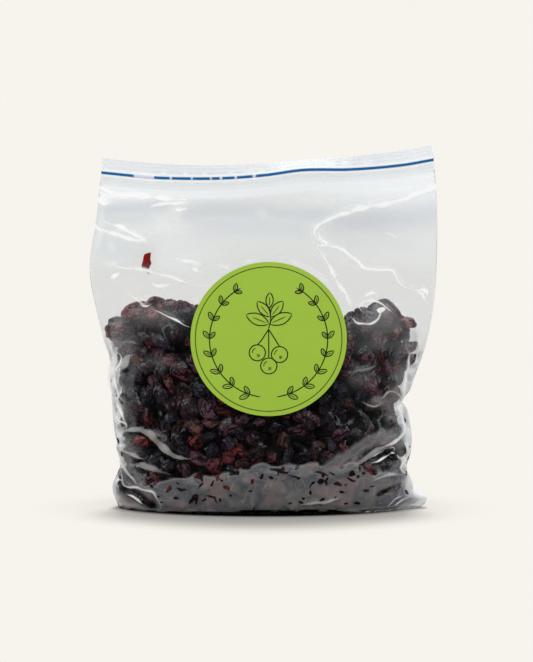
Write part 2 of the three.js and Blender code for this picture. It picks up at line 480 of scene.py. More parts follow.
@dataclass(frozen=True)
class Noise:
    """The settings of a noise over a piece's own coordinates."""

    scale: float
    detail: float = 2
    roughness: float = 0.5
    distortion: float = 0


class NodeGraph:
    """Adds the nodes of one material or world, each linked to what feeds it.

    Wherever a method takes a value, an output or a node may stand for it, and is then linked.
    """

    def __init__(self, tree: bpy.types.NodeTree) -> None:
        """Takes an empty tree over."""
        self.tree = tree
        tree.nodes.clear()

    def add(self, kind: str, sockets: dict[Any, Any] | None = None, **settings: Any) -> bpy.types.Node:
        """Adds a node.

        Args:
            kind: The node's type without its leading ShaderNode.
            sockets: What goes into its inputs, by name or place.
            settings: The node's own settings.

        Returns:
            The new node.
        """
        node = self.tree.nodes.new("ShaderNode" + kind)
        for name, value in settings.items():
            setattr(node, name, value)
        for key, value in (sockets or {}).items():
            if isinstance(value, bpy.types.Node):
                value = value.outputs[0]
            if isinstance(value, bpy.types.NodeSocket):
                self.tree.links.new(value, node.inputs[key])
            else:
                node.inputs[key].default_value = value
        return node

    def value_of(self, attribute: str) -> bpy.types.NodeSocket:
        """The value of one of the mesh's own attributes."""
        return self.add("Attribute", attribute_name=attribute).outputs["Fac"]

    def rise(self, value: Any, low: float, high: float) -> bpy.types.Node:
        """A smooth rise from 0 to 1 between two values."""
        sockets = {"Value": value, 1: low, 2: high, 3: 0, 4: 1}
        return self.add("MapRange", sockets, interpolation_type="SMOOTHSTEP")

    def math(self, operation: str, first: Any, second: Any = 0, third: Any = 0) -> bpy.types.Node:
        """Adds a sum of two or three values."""
        return self.add("Math", {0: first, 1: second, 2: third}, operation=operation)

    def scaled(self, value: Any, slope: Any, start: Any) -> bpy.types.Node:
        """A value times a slope, from a start."""
        return self.math("MULTIPLY_ADD", value, slope, start)

    def product(self, first: Any, *others: Any) -> Any:
        """The product of several values."""
        for other in others:
            first = self.math("MULTIPLY", first, other)
        return first

    def rest(self, value: Any) -> bpy.types.Node:
        """What is left of 1 after a value."""
        return self.math("SUBTRACT", 1, value)

    def distance(self, value: Any, middle: float = 0.5) -> bpy.types.Node:
        """How far a value lies from a middle one, which for a noise is a half."""
        return self.math("ABSOLUTE", self.math("SUBTRACT", value, middle))

    def noise(self, settings: Noise) -> bpy.types.NodeSocket:
        """Adds a noise over the object's own coordinates and gives its value.

        Args:
            settings: The noise's settings.

        Returns:
            Its value, from 0 to 1.
        """
        sockets = {
            "Vector": self.add("TexCoord").outputs["Object"], "Scale": settings.scale,
            "Detail": settings.detail, "Roughness": settings.roughness, "Distortion": settings.distortion,
        }
        return self.add("TexNoise", sockets).outputs["Fac"]

    def ramp(self, value: Any, first: tuple[float, Colour], last: tuple[float, Colour]) -> Any:
        """Adds a colour ramp between two (place, colour) stops and gives its colour.

        Args:
            value: What runs along the ramp.
            first: The place and colour of its first stop.
            last: The place and colour of its last stop.

        Returns:
            The ramp's colour.
        """
        node = self.add("ValToRGB", {0: value})
        for element, (place, colour) in zip(node.color_ramp.elements, (first, last)):
            element.position = place
            element.color = colour
        return node.outputs["Color"]

    def mix(self, factor: Any, first: Any, second: Any) -> Any:
        """Adds a mix of two colours and gives its colour."""
        return self.add("Mix", {0: factor, 6: first, 7: second}, data_type="RGBA").outputs[2]

    def blend(self, factor: Any, first: Any, second: Any) -> bpy.types.Node:
        """Adds a mix of two shaders."""
        return self.add("MixShader", {0: factor, 1: first, 2: second})

    def cloudy(self, colour: Any, let_through: float) -> bpy.types.Node:
        """A shader that scatters light back, and lets a share of it through."""
        back, through = (self.add(kind, {"Color": colour}) for kind in ("BsdfDiffuse", "BsdfTranslucent"))
        return self.blend(let_through, back, through)

    def glow(self, colour: Colour, strength: float) -> bpy.types.Node:
        """A shader that gives off light."""
        return self.add("Emission", {"Color": colour, "Strength": strength})

    def bump(self, height: Any, distance: float, strength: float = 1) -> bpy.types.Node:
        """Relief that only the light shows."""
        return self.add("Bump", {"Strength": strength, "Distance": distance, "Height": height})

    def surface(self, shader: bpy.types.Node) -> None:
        """Ends the tree with a surface shader."""
        self.add("OutputMaterial", {"Surface": shader})

    def solid(self, colour: Any, roughness: Any, **others: Any) -> None:
        """Ends the tree with an opaque surface, whose other inputs are given by name.

        Args:
            colour: The surface's colour.
            roughness: Its roughness.
            others: Its normal or its specular level.
        """
        sockets = {"Base Color": colour, "Roughness": roughness}
        names = {"normal": "Normal", "specular": "Specular IOR Level"}
        sockets.update({names[name]: value for name, value in others.items()})
        self.surface(self.add("BsdfPrincipled", sockets))


def new_material(name: str) -> tuple[bpy.types.Material, NodeGraph]:
    """An empty material by name, and the graph of its nodes."""
    material = bpy.data.materials.new(name)
    material.use_nodes = True
    return material, NodeGraph(material.node_tree)


@dataclass(frozen=True)
class FilmFinish:
    """Clear, slightly cool polythene that reflects like a window and hazes in places.

    The mesh says where: haze is how much light it scatters, and also carries painted sheens and highlights;
    milk is how white that is; shade is how blue and dark it looks, a tint near the top and in the closure
    and painted shade in bands above the fruit; grip is how finely it is crinkled; and painted_shadow is how
    black its foot is, a painted contact shadow.
    """

    tint: Colour = (0.93, 0.95, 0.962, 1)
    # The tint where shade is full: painted shade in bands above the fruit, and a bluer tint near the welds
    # and in the closure.
    shaded_tint: Colour = (0.832, 0.868, 0.914, 1)
    reflectance: float = 0.06
    edge_reflectance: float = 0.9
    edge_power: float = 5
    roughness: float = 0.08
    crinkle: Noise = Noise(1 / 0.0034, 1)
    crinkle_height: float = -3
    crinkle_depth: float = 0.00014
    # Haze colours for where milk is low: the foggy band along the base, partly a painted reflection of the
    # floor, and the grey strips beside the welds.
    dark_haze: Colour = (0.16, 0.172, 0.2, 1)
    grey_haze: Colour = (0.25, 0.247, 0.247, 1)
    rosy_haze: Colour = (0.305, 0.243, 0.252, 1)
    pale_haze: Colour = (0.38, 0.365, 0.355, 1)
    white_haze: Colour = (0.92, 0.948, 0.975, 1)
    murk: Noise = Noise(72, 1, distortion=1.5)
    murk_range: Span = (0.36, 0.6)
    swirl: Noise = Noise(62, 1, distortion=1.2)
    swirl_range: Span = (0.53, 0.65)
    thread: Noise = Noise(50, 1, distortion=2)
    thread_width: float = 0.024
    thread_share: float = 0.6
    let_through: float = 0.3

    def material(self) -> bpy.types.Material:
        """The film's material."""
        material, graph = new_material("clear_film")
        haze, milk, shade, grip, painted_shadow = (graph.value_of(name) for name in FILM_VALUES)
        sharp = graph.distance(graph.noise(self.crinkle))
        bump = graph.bump(graph.product(sharp, self.crinkle_height, grip), self.crinkle_depth)
        facing = graph.add("LayerWeight", {"Blend": 0.5, "Normal": bump}).outputs["Facing"]
        edge = graph.math("POWER", facing, self.edge_power)
        mirror = graph.scaled(edge, self.edge_reflectance - self.reflectance, self.reflectance)
        gloss = graph.add(
            "BsdfAnisotropic", {"Color": WHITE, "Roughness": self.roughness, "Normal": bump}
        )
        clear = graph.add("BsdfTransparent", {"Color": graph.mix(shade, self.tint, self.shaded_tint)})
        murk = graph.rise(graph.noise(self.murk), *self.murk_range)
        swirl = graph.rise(graph.noise(self.swirl), *self.swirl_range)
        rosy = graph.mix(swirl, graph.mix(murk, self.dark_haze, self.grey_haze), self.rosy_haze)
        away = graph.rise(graph.distance(graph.noise(self.thread)), 0, self.thread_width)
        thread = graph.scaled(away, -self.thread_share, self.thread_share)
        pale = graph.mix(milk, graph.mix(thread, rosy, self.pale_haze), self.white_haze)
        # Painted contact shadow: painted_shadow turns the haze black along the film's foot and under its
        # base.
        cloud = graph.cloudy(graph.mix(painted_shadow, pale, BLACK), self.let_through)
        graph.surface(graph.blend(haze, graph.blend(mirror, clear, gloss), cloud))
        return material


@dataclass(frozen=True)
class CrestHighlightFinish:
    """The painted highlight, a pale line, along the crest of a sharp fold of film."""

    colour: Colour = (0.97, 0.98, 0.98, 1)
    let_through: float = 0.2

    def material(self) -> bpy.types.Material:
        """The crests' material."""
        material, graph = new_material("film_crest")
        clear = graph.add("BsdfTransparent", {"Color": WHITE})
        pale = graph.cloudy(self.colour, self.let_through)
        graph.surface(graph.blend(graph.value_of("shine"), clear, pale))
        return material


@dataclass(frozen=True)
class FruitFinish:
    """Sticky wrinkled skin, painted near black in its creases as shade, with pale lines on its crests that
    are partly its own colour and partly painted sheen.

    What lights a place is given as a slope and a start: of its crest, its tone and its blotch.
    """

    name: str
    dark: Colour
    light: Colour
    ridge_and_sheen: Colour
    ridge_and_sheen_share: float
    roughness: float = 0.13
    blotch: Noise = Noise(210, distortion=0.8)
    blotch_range: Span = (0.36, 0.64)
    wrinkle: Noise = Noise(480, roughness=0.55, distortion=1.6)
    wrinkle_width: float = 0.05
    wet: Noise = Noise(760, 1.5)
    crest_power: float = 2.2
    crest_light: Span = (0.98, 0.07)
    tone_light: Span = (0.95, 0.33)
    blotch_light: Span = (1.05, 0.14)
    dark_until: float = 0.15
    light_from: float = 0.72
    ridge_and_sheen_start: float = 0.3
    wrinkle_height: float = 0.5
    wet_height: float = 1.6
    relief: float = 0.0007
    blotch_roughness: float = 0.14
    specular: float = 0.75

    def material(self) -> bpy.types.Material:
        """The fruit's material."""
        material, graph = new_material(self.name)
        blotch = graph.rise(graph.noise(self.blotch), *self.blotch_range)
        away = graph.distance(graph.noise(self.wrinkle))
        line = graph.rest(graph.rise(away, 0, self.wrinkle_width))
        # Painted shade: the colour darkens into the grooves between the wrinkles.
        crest = graph.math("POWER", graph.value_of("crest"), self.crest_power)
        lit = graph.scaled(crest, *self.crest_light)
        share = graph.scaled(graph.value_of("tone"), *self.tone_light)
        level = graph.product(lit, share, graph.scaled(blotch, *self.blotch_light))
        skin = graph.ramp(level, (self.dark_until, self.dark), (self.light_from, self.light))
        # Pale lines along the crests, partly the skin's own colour and partly painted sheen.
        ridge_and_sheen_lines = graph.product(line, lit, graph.math("ADD", share, self.ridge_and_sheen_start), self.ridge_and_sheen_share)
        wet = graph.math("MULTIPLY", graph.noise(self.wet), self.wet_height)
        bump = graph.bump(graph.scaled(line, self.wrinkle_height, wet), self.relief)
        rough = graph.scaled(blotch, self.blotch_roughness, self.roughness)
        colour = graph.mix(ridge_and_sheen_lines, skin, self.ridge_and_sheen)
        graph.solid(colour, rough, normal=bump, specular=self.specular)
        return material


@dataclass(frozen=True)
class StrayFinish:
    """Deep red skin that turns to a dull pink flesh where the piece was cut."""

    red: Colour = linear(142, 0, 2)
    flesh: Colour = linear(122, 66, 80)
    streaks: Noise = Noise(900, 3)
    streak_share: float = 0.6
    streak_depth: float = 0.6
    flesh_until: float = 0.45
    red_from: float = 0.8
    relief: float = 0.0003
    roughness: float = 0.3

    def material(self) -> bpy.types.Material:
        """The stray piece's material."""
        material, graph = new_material("fruit_stray")
        streaks = graph.noise(self.streaks)
        share = graph.scaled(streaks, self.streak_share, graph.value_of("tone"))
        colour = graph.ramp(share, (self.flesh_until, self.flesh), (self.red_from, self.red))
        graph.solid(colour, self.roughness, normal=graph.bump(streaks, self.relief, self.streak_depth))
        return material


@dataclass(frozen=True)
class PlainFinish:
    """One colour that shifts slightly to another, as unlit fruit, coated paper and ink do."""

    name: str
    low: Colour
    high: Colour
    mottle: Noise
    stops: Span
    roughness: float
    grain: Noise | None = None
    grain_strength: float = 0.25
    grain_depth: float = 0.00003

    def material(self) -> bpy.types.Material:
        """The material."""
        material, graph = new_material(self.name)
        low, high = zip(self.stops, (self.low, self.high))
        colour = graph.ramp(graph.noise(self.mottle), low, high)
        others = {}
        if self.grain:
            others["normal"] = graph.bump(graph.noise(self.grain), self.grain_depth, self.grain_strength)
        graph.solid(colour, self.roughness, **others)
        return material


CORE_FINISH = PlainFinish(
    "fruit_core", (0.012, 0.004, 0.006, 1), (0.03, 0.008, 0.01, 1), Noise(180), (0.3, 0.7), 0.6,
)
PAPER_FINISH = PlainFinish(
    "sticker_paper", linear(157, 194, 51, 0.97), linear(157, 194, 51), Noise(90), (0.3, 0.7), 0.42,
    Noise(2400),
)
INK_FINISH = PlainFinish(
    "printing_ink", (0.004, 0.004, 0.004, 1), (0.012, 0.013, 0.009, 1), Noise(1400), (0.35, 0.75), 0.5,
)


@dataclass(frozen=True)
class LineFinish:
    """Coloured polythene bead, pale where it isn't pressed home: partly the air gap's own paleness and
    partly painted reflection.
    """

    blue: Colour = linear(0, 96, 160)
    pale: Colour = linear(212, 214, 232)
    roughness: float = 0.3
    specular: float = 0.15
    gap_fade: float = 0.9
    gaps: Pairs = (
        (-68, 5.4), (-52.6, 0.2), (-40.7, 0.05), (-29.9, 0.05), (-24.2, 0.3), (-15.8, 0.2), (-5.3, 0.5),
    )

    def material(self) -> bpy.types.Material:
        """The bead's material, with each gap's middle and half length in millimetres."""
        material, graph = new_material("zip_line")
        where = graph.add("TexCoord").outputs["Object"]
        along = graph.add("SeparateXYZ", {0: where}).outputs["X"]
        pale: Any = 0
        for middle, half in self.gaps:
            away = graph.distance(along, middle * MM)
            gap = graph.rest(graph.rise(away, half * MM, (half + self.gap_fade) * MM))
            pale = graph.math("MAXIMUM", pale, gap)
        graph.solid(graph.mix(pale, self.blue, self.pale), self.roughness, specular=self.specular)
        return material


@dataclass(frozen=True)
class FloorFinish:
    """Pale card: it takes the bag's shadow close by, is painted black as a contact shadow just under the
    bag's foot, and glows evenly further out.
    """

    colour: Colour = SURROUND
    card: Colour = (0.56, 0.542, 0.512, 1)
    foot: Span = (0.082, 0.0325)
    contact_shadow: Span = (0.88, 1.12)
    lit_until: float = 0.014
    glow_from: float = 0.064
    mirror_dark: float = 0.012
    mirror_behind: Span = (0.12, 0.45)

    def material(self) -> bpy.types.Material:
        """The floor's material."""
        material, graph = new_material("floor_card")
        where = graph.add("TexCoord").outputs["Object"]
        away = graph.add("VectorMath", {0: where}, operation="LENGTH").outputs["Value"]
        inward = (1 / self.foot[0], 1 / self.foot[1], 0)
        squashed = graph.add("VectorMath", {0: where, 1: inward}, operation="MULTIPLY")
        length = graph.add("VectorMath", {0: squashed}, operation="LENGTH").outputs["Value"]
        beyond = graph.product(away, graph.rest(graph.math("DIVIDE", 1, length)))
        ring = graph.rise(beyond, self.lit_until, self.glow_from)
        # Painted contact shadow: the card turns black inside an oval round the bag's foot.
        under = graph.mix(graph.rise(length, *self.contact_shadow), BLACK, self.card)
        glow = graph.glow(self.colour, 1)
        seen = graph.blend(ring, graph.add("BsdfDiffuse", {"Color": under}), glow)
        behind = graph.rise(graph.add("SeparateXYZ", {0: where}).outputs["Y"], *self.mirror_behind)
        mirrored = graph.blend(behind, graph.glow(WHITE, self.mirror_dark), glow)
        graph.surface(graph.blend(graph.add("LightPath").outputs["Is Glossy Ray"], seen, mirrored))
        return material


def linked_object(name: str, data: bpy.types.ID) -> bpy.types.Object:
    """Puts data into the scene as a new object."""
    made = bpy.data.objects.new(name, data)
    bpy.context.scene.collection.objects.link(made)
    return made


def dressed_object(name: str, data: bpy.types.Mesh) -> bpy.types.Object:
    """Links a finished mesh as a smooth object that rides on the bag's body.

    Args:
        name: The object's name.
        data: Its mesh.

    Returns:
        The new object.
    """
    data.polygons.foreach_set("use_smooth", np.ones(len(data.polygons), bool))
    piece = linked_object(name, data)
    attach(piece, BODY)
    return piece


def mesh_from_bmesh(name: str, mesh: bmesh.types.BMesh) -> bpy.types.Object:
    """Frees a bmesh into a smooth object that rides on the bag's body.

    Args:
        name: The object's name.
        mesh: The bmesh, which is used up.

    Returns:
        The new object.
    """
    data = bpy.data.meshes.new(name)
    mesh.to_mesh(data)
    mesh.free()
    return dressed_object(name, data)


def finish_piece(piece: bpy.types.Object, material: bpy.types.Material) -> None:
    """Gives a piece its material, and reports it.

    Args:
        piece: The piece.
        material: Its material.
    """
    piece.data.materials.clear()
    piece.data.materials.append(material)
    LOG.info("%s: %d faces", piece.name, len(piece.data.polygons))


def divided_cube(cuts: int) -> bmesh.types.BMesh:
    """A cube from -1 to 1 along each axis, its sides cut into even grids."""
    cube = bmesh.new()
    bmesh.ops.create_cube(cube, size=2)
    bmesh.ops.subdivide_edges(cube, edges=cube.edges[:], cuts=cuts, use_grid_fill=True)
    return cube


def corner_places(mesh: bmesh.types.BMesh) -> Array:
    """The places of a bmesh's corners."""
    return np.array([vert.co[:] for vert in mesh.verts])


def move_corners(mesh: bmesh.types.BMesh, places: Array) -> None:
    """Moves a bmesh's corners to new places."""
    for vert, place in zip(mesh.verts, places):
        vert.co = place


def grid_step(vert: bmesh.types.BMVert, rows: int, columns: int) -> tuple[int, int]:
    """The row and the column of a corner in a grid that runs from -1 to 1 along x and y."""
    return round((vert.co.y + 1) / 2 * (rows - 1)), round((vert.co.x + 1) / 2 * (columns - 1))


@dataclass
class FruitPacking:
    """Fills the bag up to the heap's top with balls that push each other apart."""

    form: BagForm
    count: int = 1800
    smallest: float = 3.2
    largest: float = 5.4
    thinness: float = 0.78
    film_clearance: float = 0.5
    foot_clearance: float = 1.6
    foot_levels: Span = (20, 28)
    side_clearance: tuple[Stations, Stations] = (
        Stations(((0, 4), (38, 4), (52, 6), (84, 7), (96, 6), (120, 6))),
        Stations(((0, 8), (26, 6), (34, 4), (48, 8), (70, 7), (84, 6), (91, 6), (100, 10.5), (120, 9))),
    )
    probe: float = 0.5
    heap_ripple: Span = (2.2, 26)
    heap_seed: int = 5
    room: tuple[tuple[float, float, float], ...] = ((-88, -34, 4), (92, 34, 120))
    start_room: float = 3
    floor_room: float = 1
    tries: int = 4
    push: float = 0.42
    meeting: float = 2.6
    rounds: int = 90
    refresh: int = 6
    seed: int = 11

    def wall(self, places: Array, face: Face) -> tuple[Array, Array]:
        """How far places lie inside one face, and that face's outward directions.

        Args:
            places: The places, in millimetres.
            face: The face of the bag.

        Returns:
            The distances, positive inside the bag, and one unit vector for each place.
        """
        x, y, z = places.T
        plane = self.form.plane_at(x, z, face)
        slope_x = (self.form.plane_at(x + self.probe, z, face) - plane) / self.probe
        slope_z = (self.form.plane_at(x, z + self.probe, face) - plane) / self.probe
        length = np.sqrt(1 + slope_x**2 + slope_z**2)
        outward = np.stack([-slope_x, np.ones_like(x), -slope_z], 1) / length[:, None]
        return face.value * (plane - y) / length, face.value * outward

    def heap_top(self, places: Array) -> Array:
        """The height of the heap's top over places.

        Args:
            places: The points' places, in millimetres.

        Returns:
            The top's height over each of them.
        """
        across, _ = self.form.across_and_level(places[:, 0], places[:, 2])
        height, wavelength = self.heap_ripple
        uneven = height * ripples(places[:, :2], np.random.default_rng(self.heap_seed), wavelength)
        return self.form.heap_level.at(across) + uneven

    def confine(self, places: Array, radii: Array) -> None:
        """Pushes balls back inside the film, off the floor and under the heap's top.

        Args:
            places: The balls' centres, which are moved.
            radii: Their radii.
        """
        for face in Face:
            inside, outward = self.wall(places, face)
            foot = 1 - smoothstep(places[:, 2], *self.foot_levels)
            room = self.thinness * radii + self.film_clearance + self.foot_clearance * foot
            places -= outward * np.maximum(0, room - inside)[:, None]
        middle, reach = self.form.middle_and_reach(places[:, 2])
        left, right = (clearance.at(places[:, 2]) for clearance in self.side_clearance)
        room = self.thinness * radii
        places[:, 0] = np.clip(places[:, 0], middle - reach + left + room, middle + reach - right - room)
        lowest = self.thinness * radii + self.floor_room
        highest = self.heap_top(places) - self.thinness * radii
        places[:, 2] = np.clip(places[:, 2], lowest, np.maximum(highest, lowest))

    def settle(self) -> tuple[Array, Array, Array, Array]:
        """Packs the balls.

        Returns:
            Their centres, their radii, their distance inside the nearest surface of the heap,
            and the outward direction of that surface.
        """
        rng = np.random.default_rng(self.seed)
        radii = rng.uniform(self.smallest, self.largest, self.count)
        places = np.zeros((0, 3))
        while len(places) < self.count:
            tries = rng.uniform(*self.room, (self.tries * self.count, 3))
            inside = np.minimum(*(self.wall(tries, face)[0] for face in Face))
            kept = (inside > self.start_room) & (tries[:, 2] < self.heap_top(tries))
            places = np.concatenate([places, tries[kept]])
        places = places[: self.count]
        for turn in range(self.rounds):
            if turn % self.refresh == 0:
                first, second = self.neighbours(places)
            offset = places[first] - places[second]
            length = np.maximum(np.linalg.norm(offset, axis=1), 1e-6)
            overlap = np.maximum(0, radii[first] + radii[second] - length)
            push = offset * (self.push * overlap / length)[:, None]
            np.add.at(places, first, push)
            np.add.at(places, second, -push)
            self.confine(places, radii)
        surfaces = [self.wall(places, face) for face in Face]
        up = np.tile([0.0, 0.0, 1.0], (self.count, 1))
        surfaces.append((self.heap_top(places) - places[:, 2], up))
        surfaces.append((places[:, 2], -up))
        distances = np.stack([distance for distance, _ in surfaces])
        nearest = np.argmin(distances, axis=0)
        outward = np.stack([direction for _, direction in surfaces])[nearest, np.arange(self.count)]
        return places, radii, distances.min(axis=0), outward

    def neighbours(self, places: Array) -> tuple[Array, Array]:
        """The pairs of balls that are close enough to meet within a few rounds."""
        spread = places[:, None, :] - places[None, :, :]
        near = np.einsum("ijk,ijk->ij", spread, spread) < (self.meeting * self.largest) ** 2
        return np.nonzero(np.triu(near, 1))


@dataclass(frozen=True)
class FruitShape:
    """How a round ball becomes a dried cranberry: flattened, dented and wrinkled."""

    long_axis: float = 1.5
    wide_axis: float = 1.02
    thin_axis: float = 0.82
    lumps: Pairs = ((0.12, 2.0), (0.07, 3.8))
    wrinkles: tuple[tuple[float, float, float], ...] = ((0.25, 3.2, 0.22), (0.15, 6.4, 0.3))
    wrinkle_waves: int = 4
    wrinkle_depths: Span = (0.6, 1.3)
    wave_paces: Span = (0.7, 1.3)
    full_turn: float = 6.3
    crest_drop: float = 0.24
    dent: float = 0.42
    dent_width: float = 0.22
    dent_facing: tuple[float, float, float] = (0.4, 0.6, 1)
    stretches: Span = (0.88, 1.14)
    grain: tuple[float, float, float] = (0.45, 1.0, 1.0)
    facets: int = 7
    least_facing: float = 0.05
    facet_reach: Span = (0.62, 1.0)
    bend: float = 0.14
    tip_reach: float = 1.4
    tip_share: float = 0.25

    def ball(self, cuts: int) -> tuple[Array, Array]:
        """The corners and four-sided faces of a round ball.

        Args:
            cuts: How many cuts divide each side of the cube that the ball is blown up from.

        Returns:
            The corners, one long, and each face's four corner numbers.
        """
        cube = divided_cube(cuts)
        corners = corner_places(cube)
        faces = np.array([[vert.index for vert in face.verts] for face in cube.faces])
        cube.free()
        return unit(np.tan(corners * math.pi / 4)), faces

    def waves(self, ball: Array, count: int, pace: float, number: int, rng: np.random.Generator) -> Array:
        """Smooth random waves over each of many balls, with a spread of about 1.

        Args:
            ball: The corners of a round ball.
            count: How many balls.
            pace: How fast the waves go up and down.
            number: How many waves are added up.
            rng: The source of the randomness.

        Returns:
            The waves' height at each corner of each ball.
        """
        total = np.zeros((count, len(ball)))
        for _ in range(number):
            directions = unit(rng.normal(size=(count, 3)) * self.grain)
            paces = pace * rng.uniform(*self.wave_paces, (count, 1))
            total += np.sin(paces * (directions @ ball.T) + rng.uniform(0, self.full_turn, (count, 1)))
        return total * math.sqrt(2 / number)

    def wrinkled(self, ball: Array, count: int, rng: np.random.Generator) -> tuple[Array, Array]:
        """Many different fruits, one unit in radius.

        Args:
            ball: The corners of a round ball.
            count: How many fruits.
            rng: The source of their differences.

        Returns:
            The corners of each fruit, and how far each corner stands above the grooves.
        """
        radius = np.ones((count, len(ball)))
        for amount, pace in self.lumps:
            radius += amount * self.waves(ball, count, pace, 1, rng)
        for _ in range(self.facets):
            facing = unit(rng.normal(size=(count, 3))) @ ball.T
            reach = rng.uniform(*self.facet_reach, (count, 1))
            radius = np.minimum(radius, reach / np.maximum(facing, self.least_facing))
        groove = np.zeros_like(radius)
        for depth, pace, width in self.wrinkles:
            field = self.waves(ball, count, pace, self.wrinkle_waves, rng)
            depths = depth * rng.uniform(*self.wrinkle_depths, (count, 1))
            groove = np.maximum(groove, depths * np.exp(-((field / width) ** 2)))
        hollow = unit(rng.normal(size=(count, 3)) * self.dent_facing)
        dent = np.exp(-(1 - (ball @ hollow.T).T) / self.dent_width) * rng.uniform(0, self.dent, (count, 1))
        radius = radius - groove - dent
        axes = np.array([self.long_axis, self.wide_axis, self.thin_axis])
        stretch = rng.uniform(*self.stretches, (count, 1, 3))
        crest = np.clip(1 - groove / self.crest_drop, 0, 1)
        fruits = ball[None] * radius[..., None] * axes * stretch
        fruits[..., 1] += self.bend * rng.uniform(-1, 1, (count, 1)) * fruits[..., 0] ** 2
        reach = np.linalg.norm(fruits, axis=-1, keepdims=True)
        blunted = self.tip_reach + self.tip_share * (reach - self.tip_reach)
        fruits *= np.minimum(1, blunted / reach)
        return fruits, crest

    def turned(self, fruits: Array, outward: Array, spread: float, rng: np.random.Generator) -> Array:
        """Turns each fruit so that its thin way lies roughly along a direction.

        Args:
            fruits: The corners of each fruit.
            outward: One direction for each.
            spread: How unevenly they are turned.
            rng: The source of the randomness.

        Returns:
            The turned corners.
        """
        thin = unit(outward + spread * rng.normal(size=outward.shape))
        side = unit(np.cross(thin, rng.normal(size=outward.shape)))
        frames = np.stack([side, np.cross(thin, side), thin], axis=1)
        return np.einsum("nvi,nij->nvj", fruits, frames)


def joined_piece(
    name: str, shapes: Array, faces: Array, values: dict[str, Array]
) -> bpy.types.Object:
    """Joins many closed shapes with the same faces into one piece.

    Args:
        name: The piece's name.
        shapes: The corners of each shape, in metres.
        faces: The corner numbers of the faces that every shape has.
        values: A value for each corner of each shape, by attribute name.

    Returns:
        The new piece.
    """
    count, corners = shapes.shape[:2]
    sides = faces.shape[1]
    starts = np.arange(count)[:, None, None] * corners
    loops = (faces[None] + starts).reshape(-1)
    data = bpy.data.meshes.new(name)
    data.vertices.add(count * corners)
    data.vertices.foreach_set("co", shapes.reshape(-1).astype(np.float32))
    data.loops.add(len(loops))
    data.loops.foreach_set("vertex_index", loops.astype(np.int32))
    data.polygons.add(len(loops) // sides)
    data.polygons.foreach_set("loop_start", np.arange(0, len(loops), sides, dtype=np.int32))
    data.update(calc_edges=True)
    for attribute, numbers in values.items():
        layer = data.attributes.new(attribute, "FLOAT", "POINT")
        layer.data.foreach_set("value", numbers.reshape(-1).astype(np.float32))
    return dressed_object(name, data)


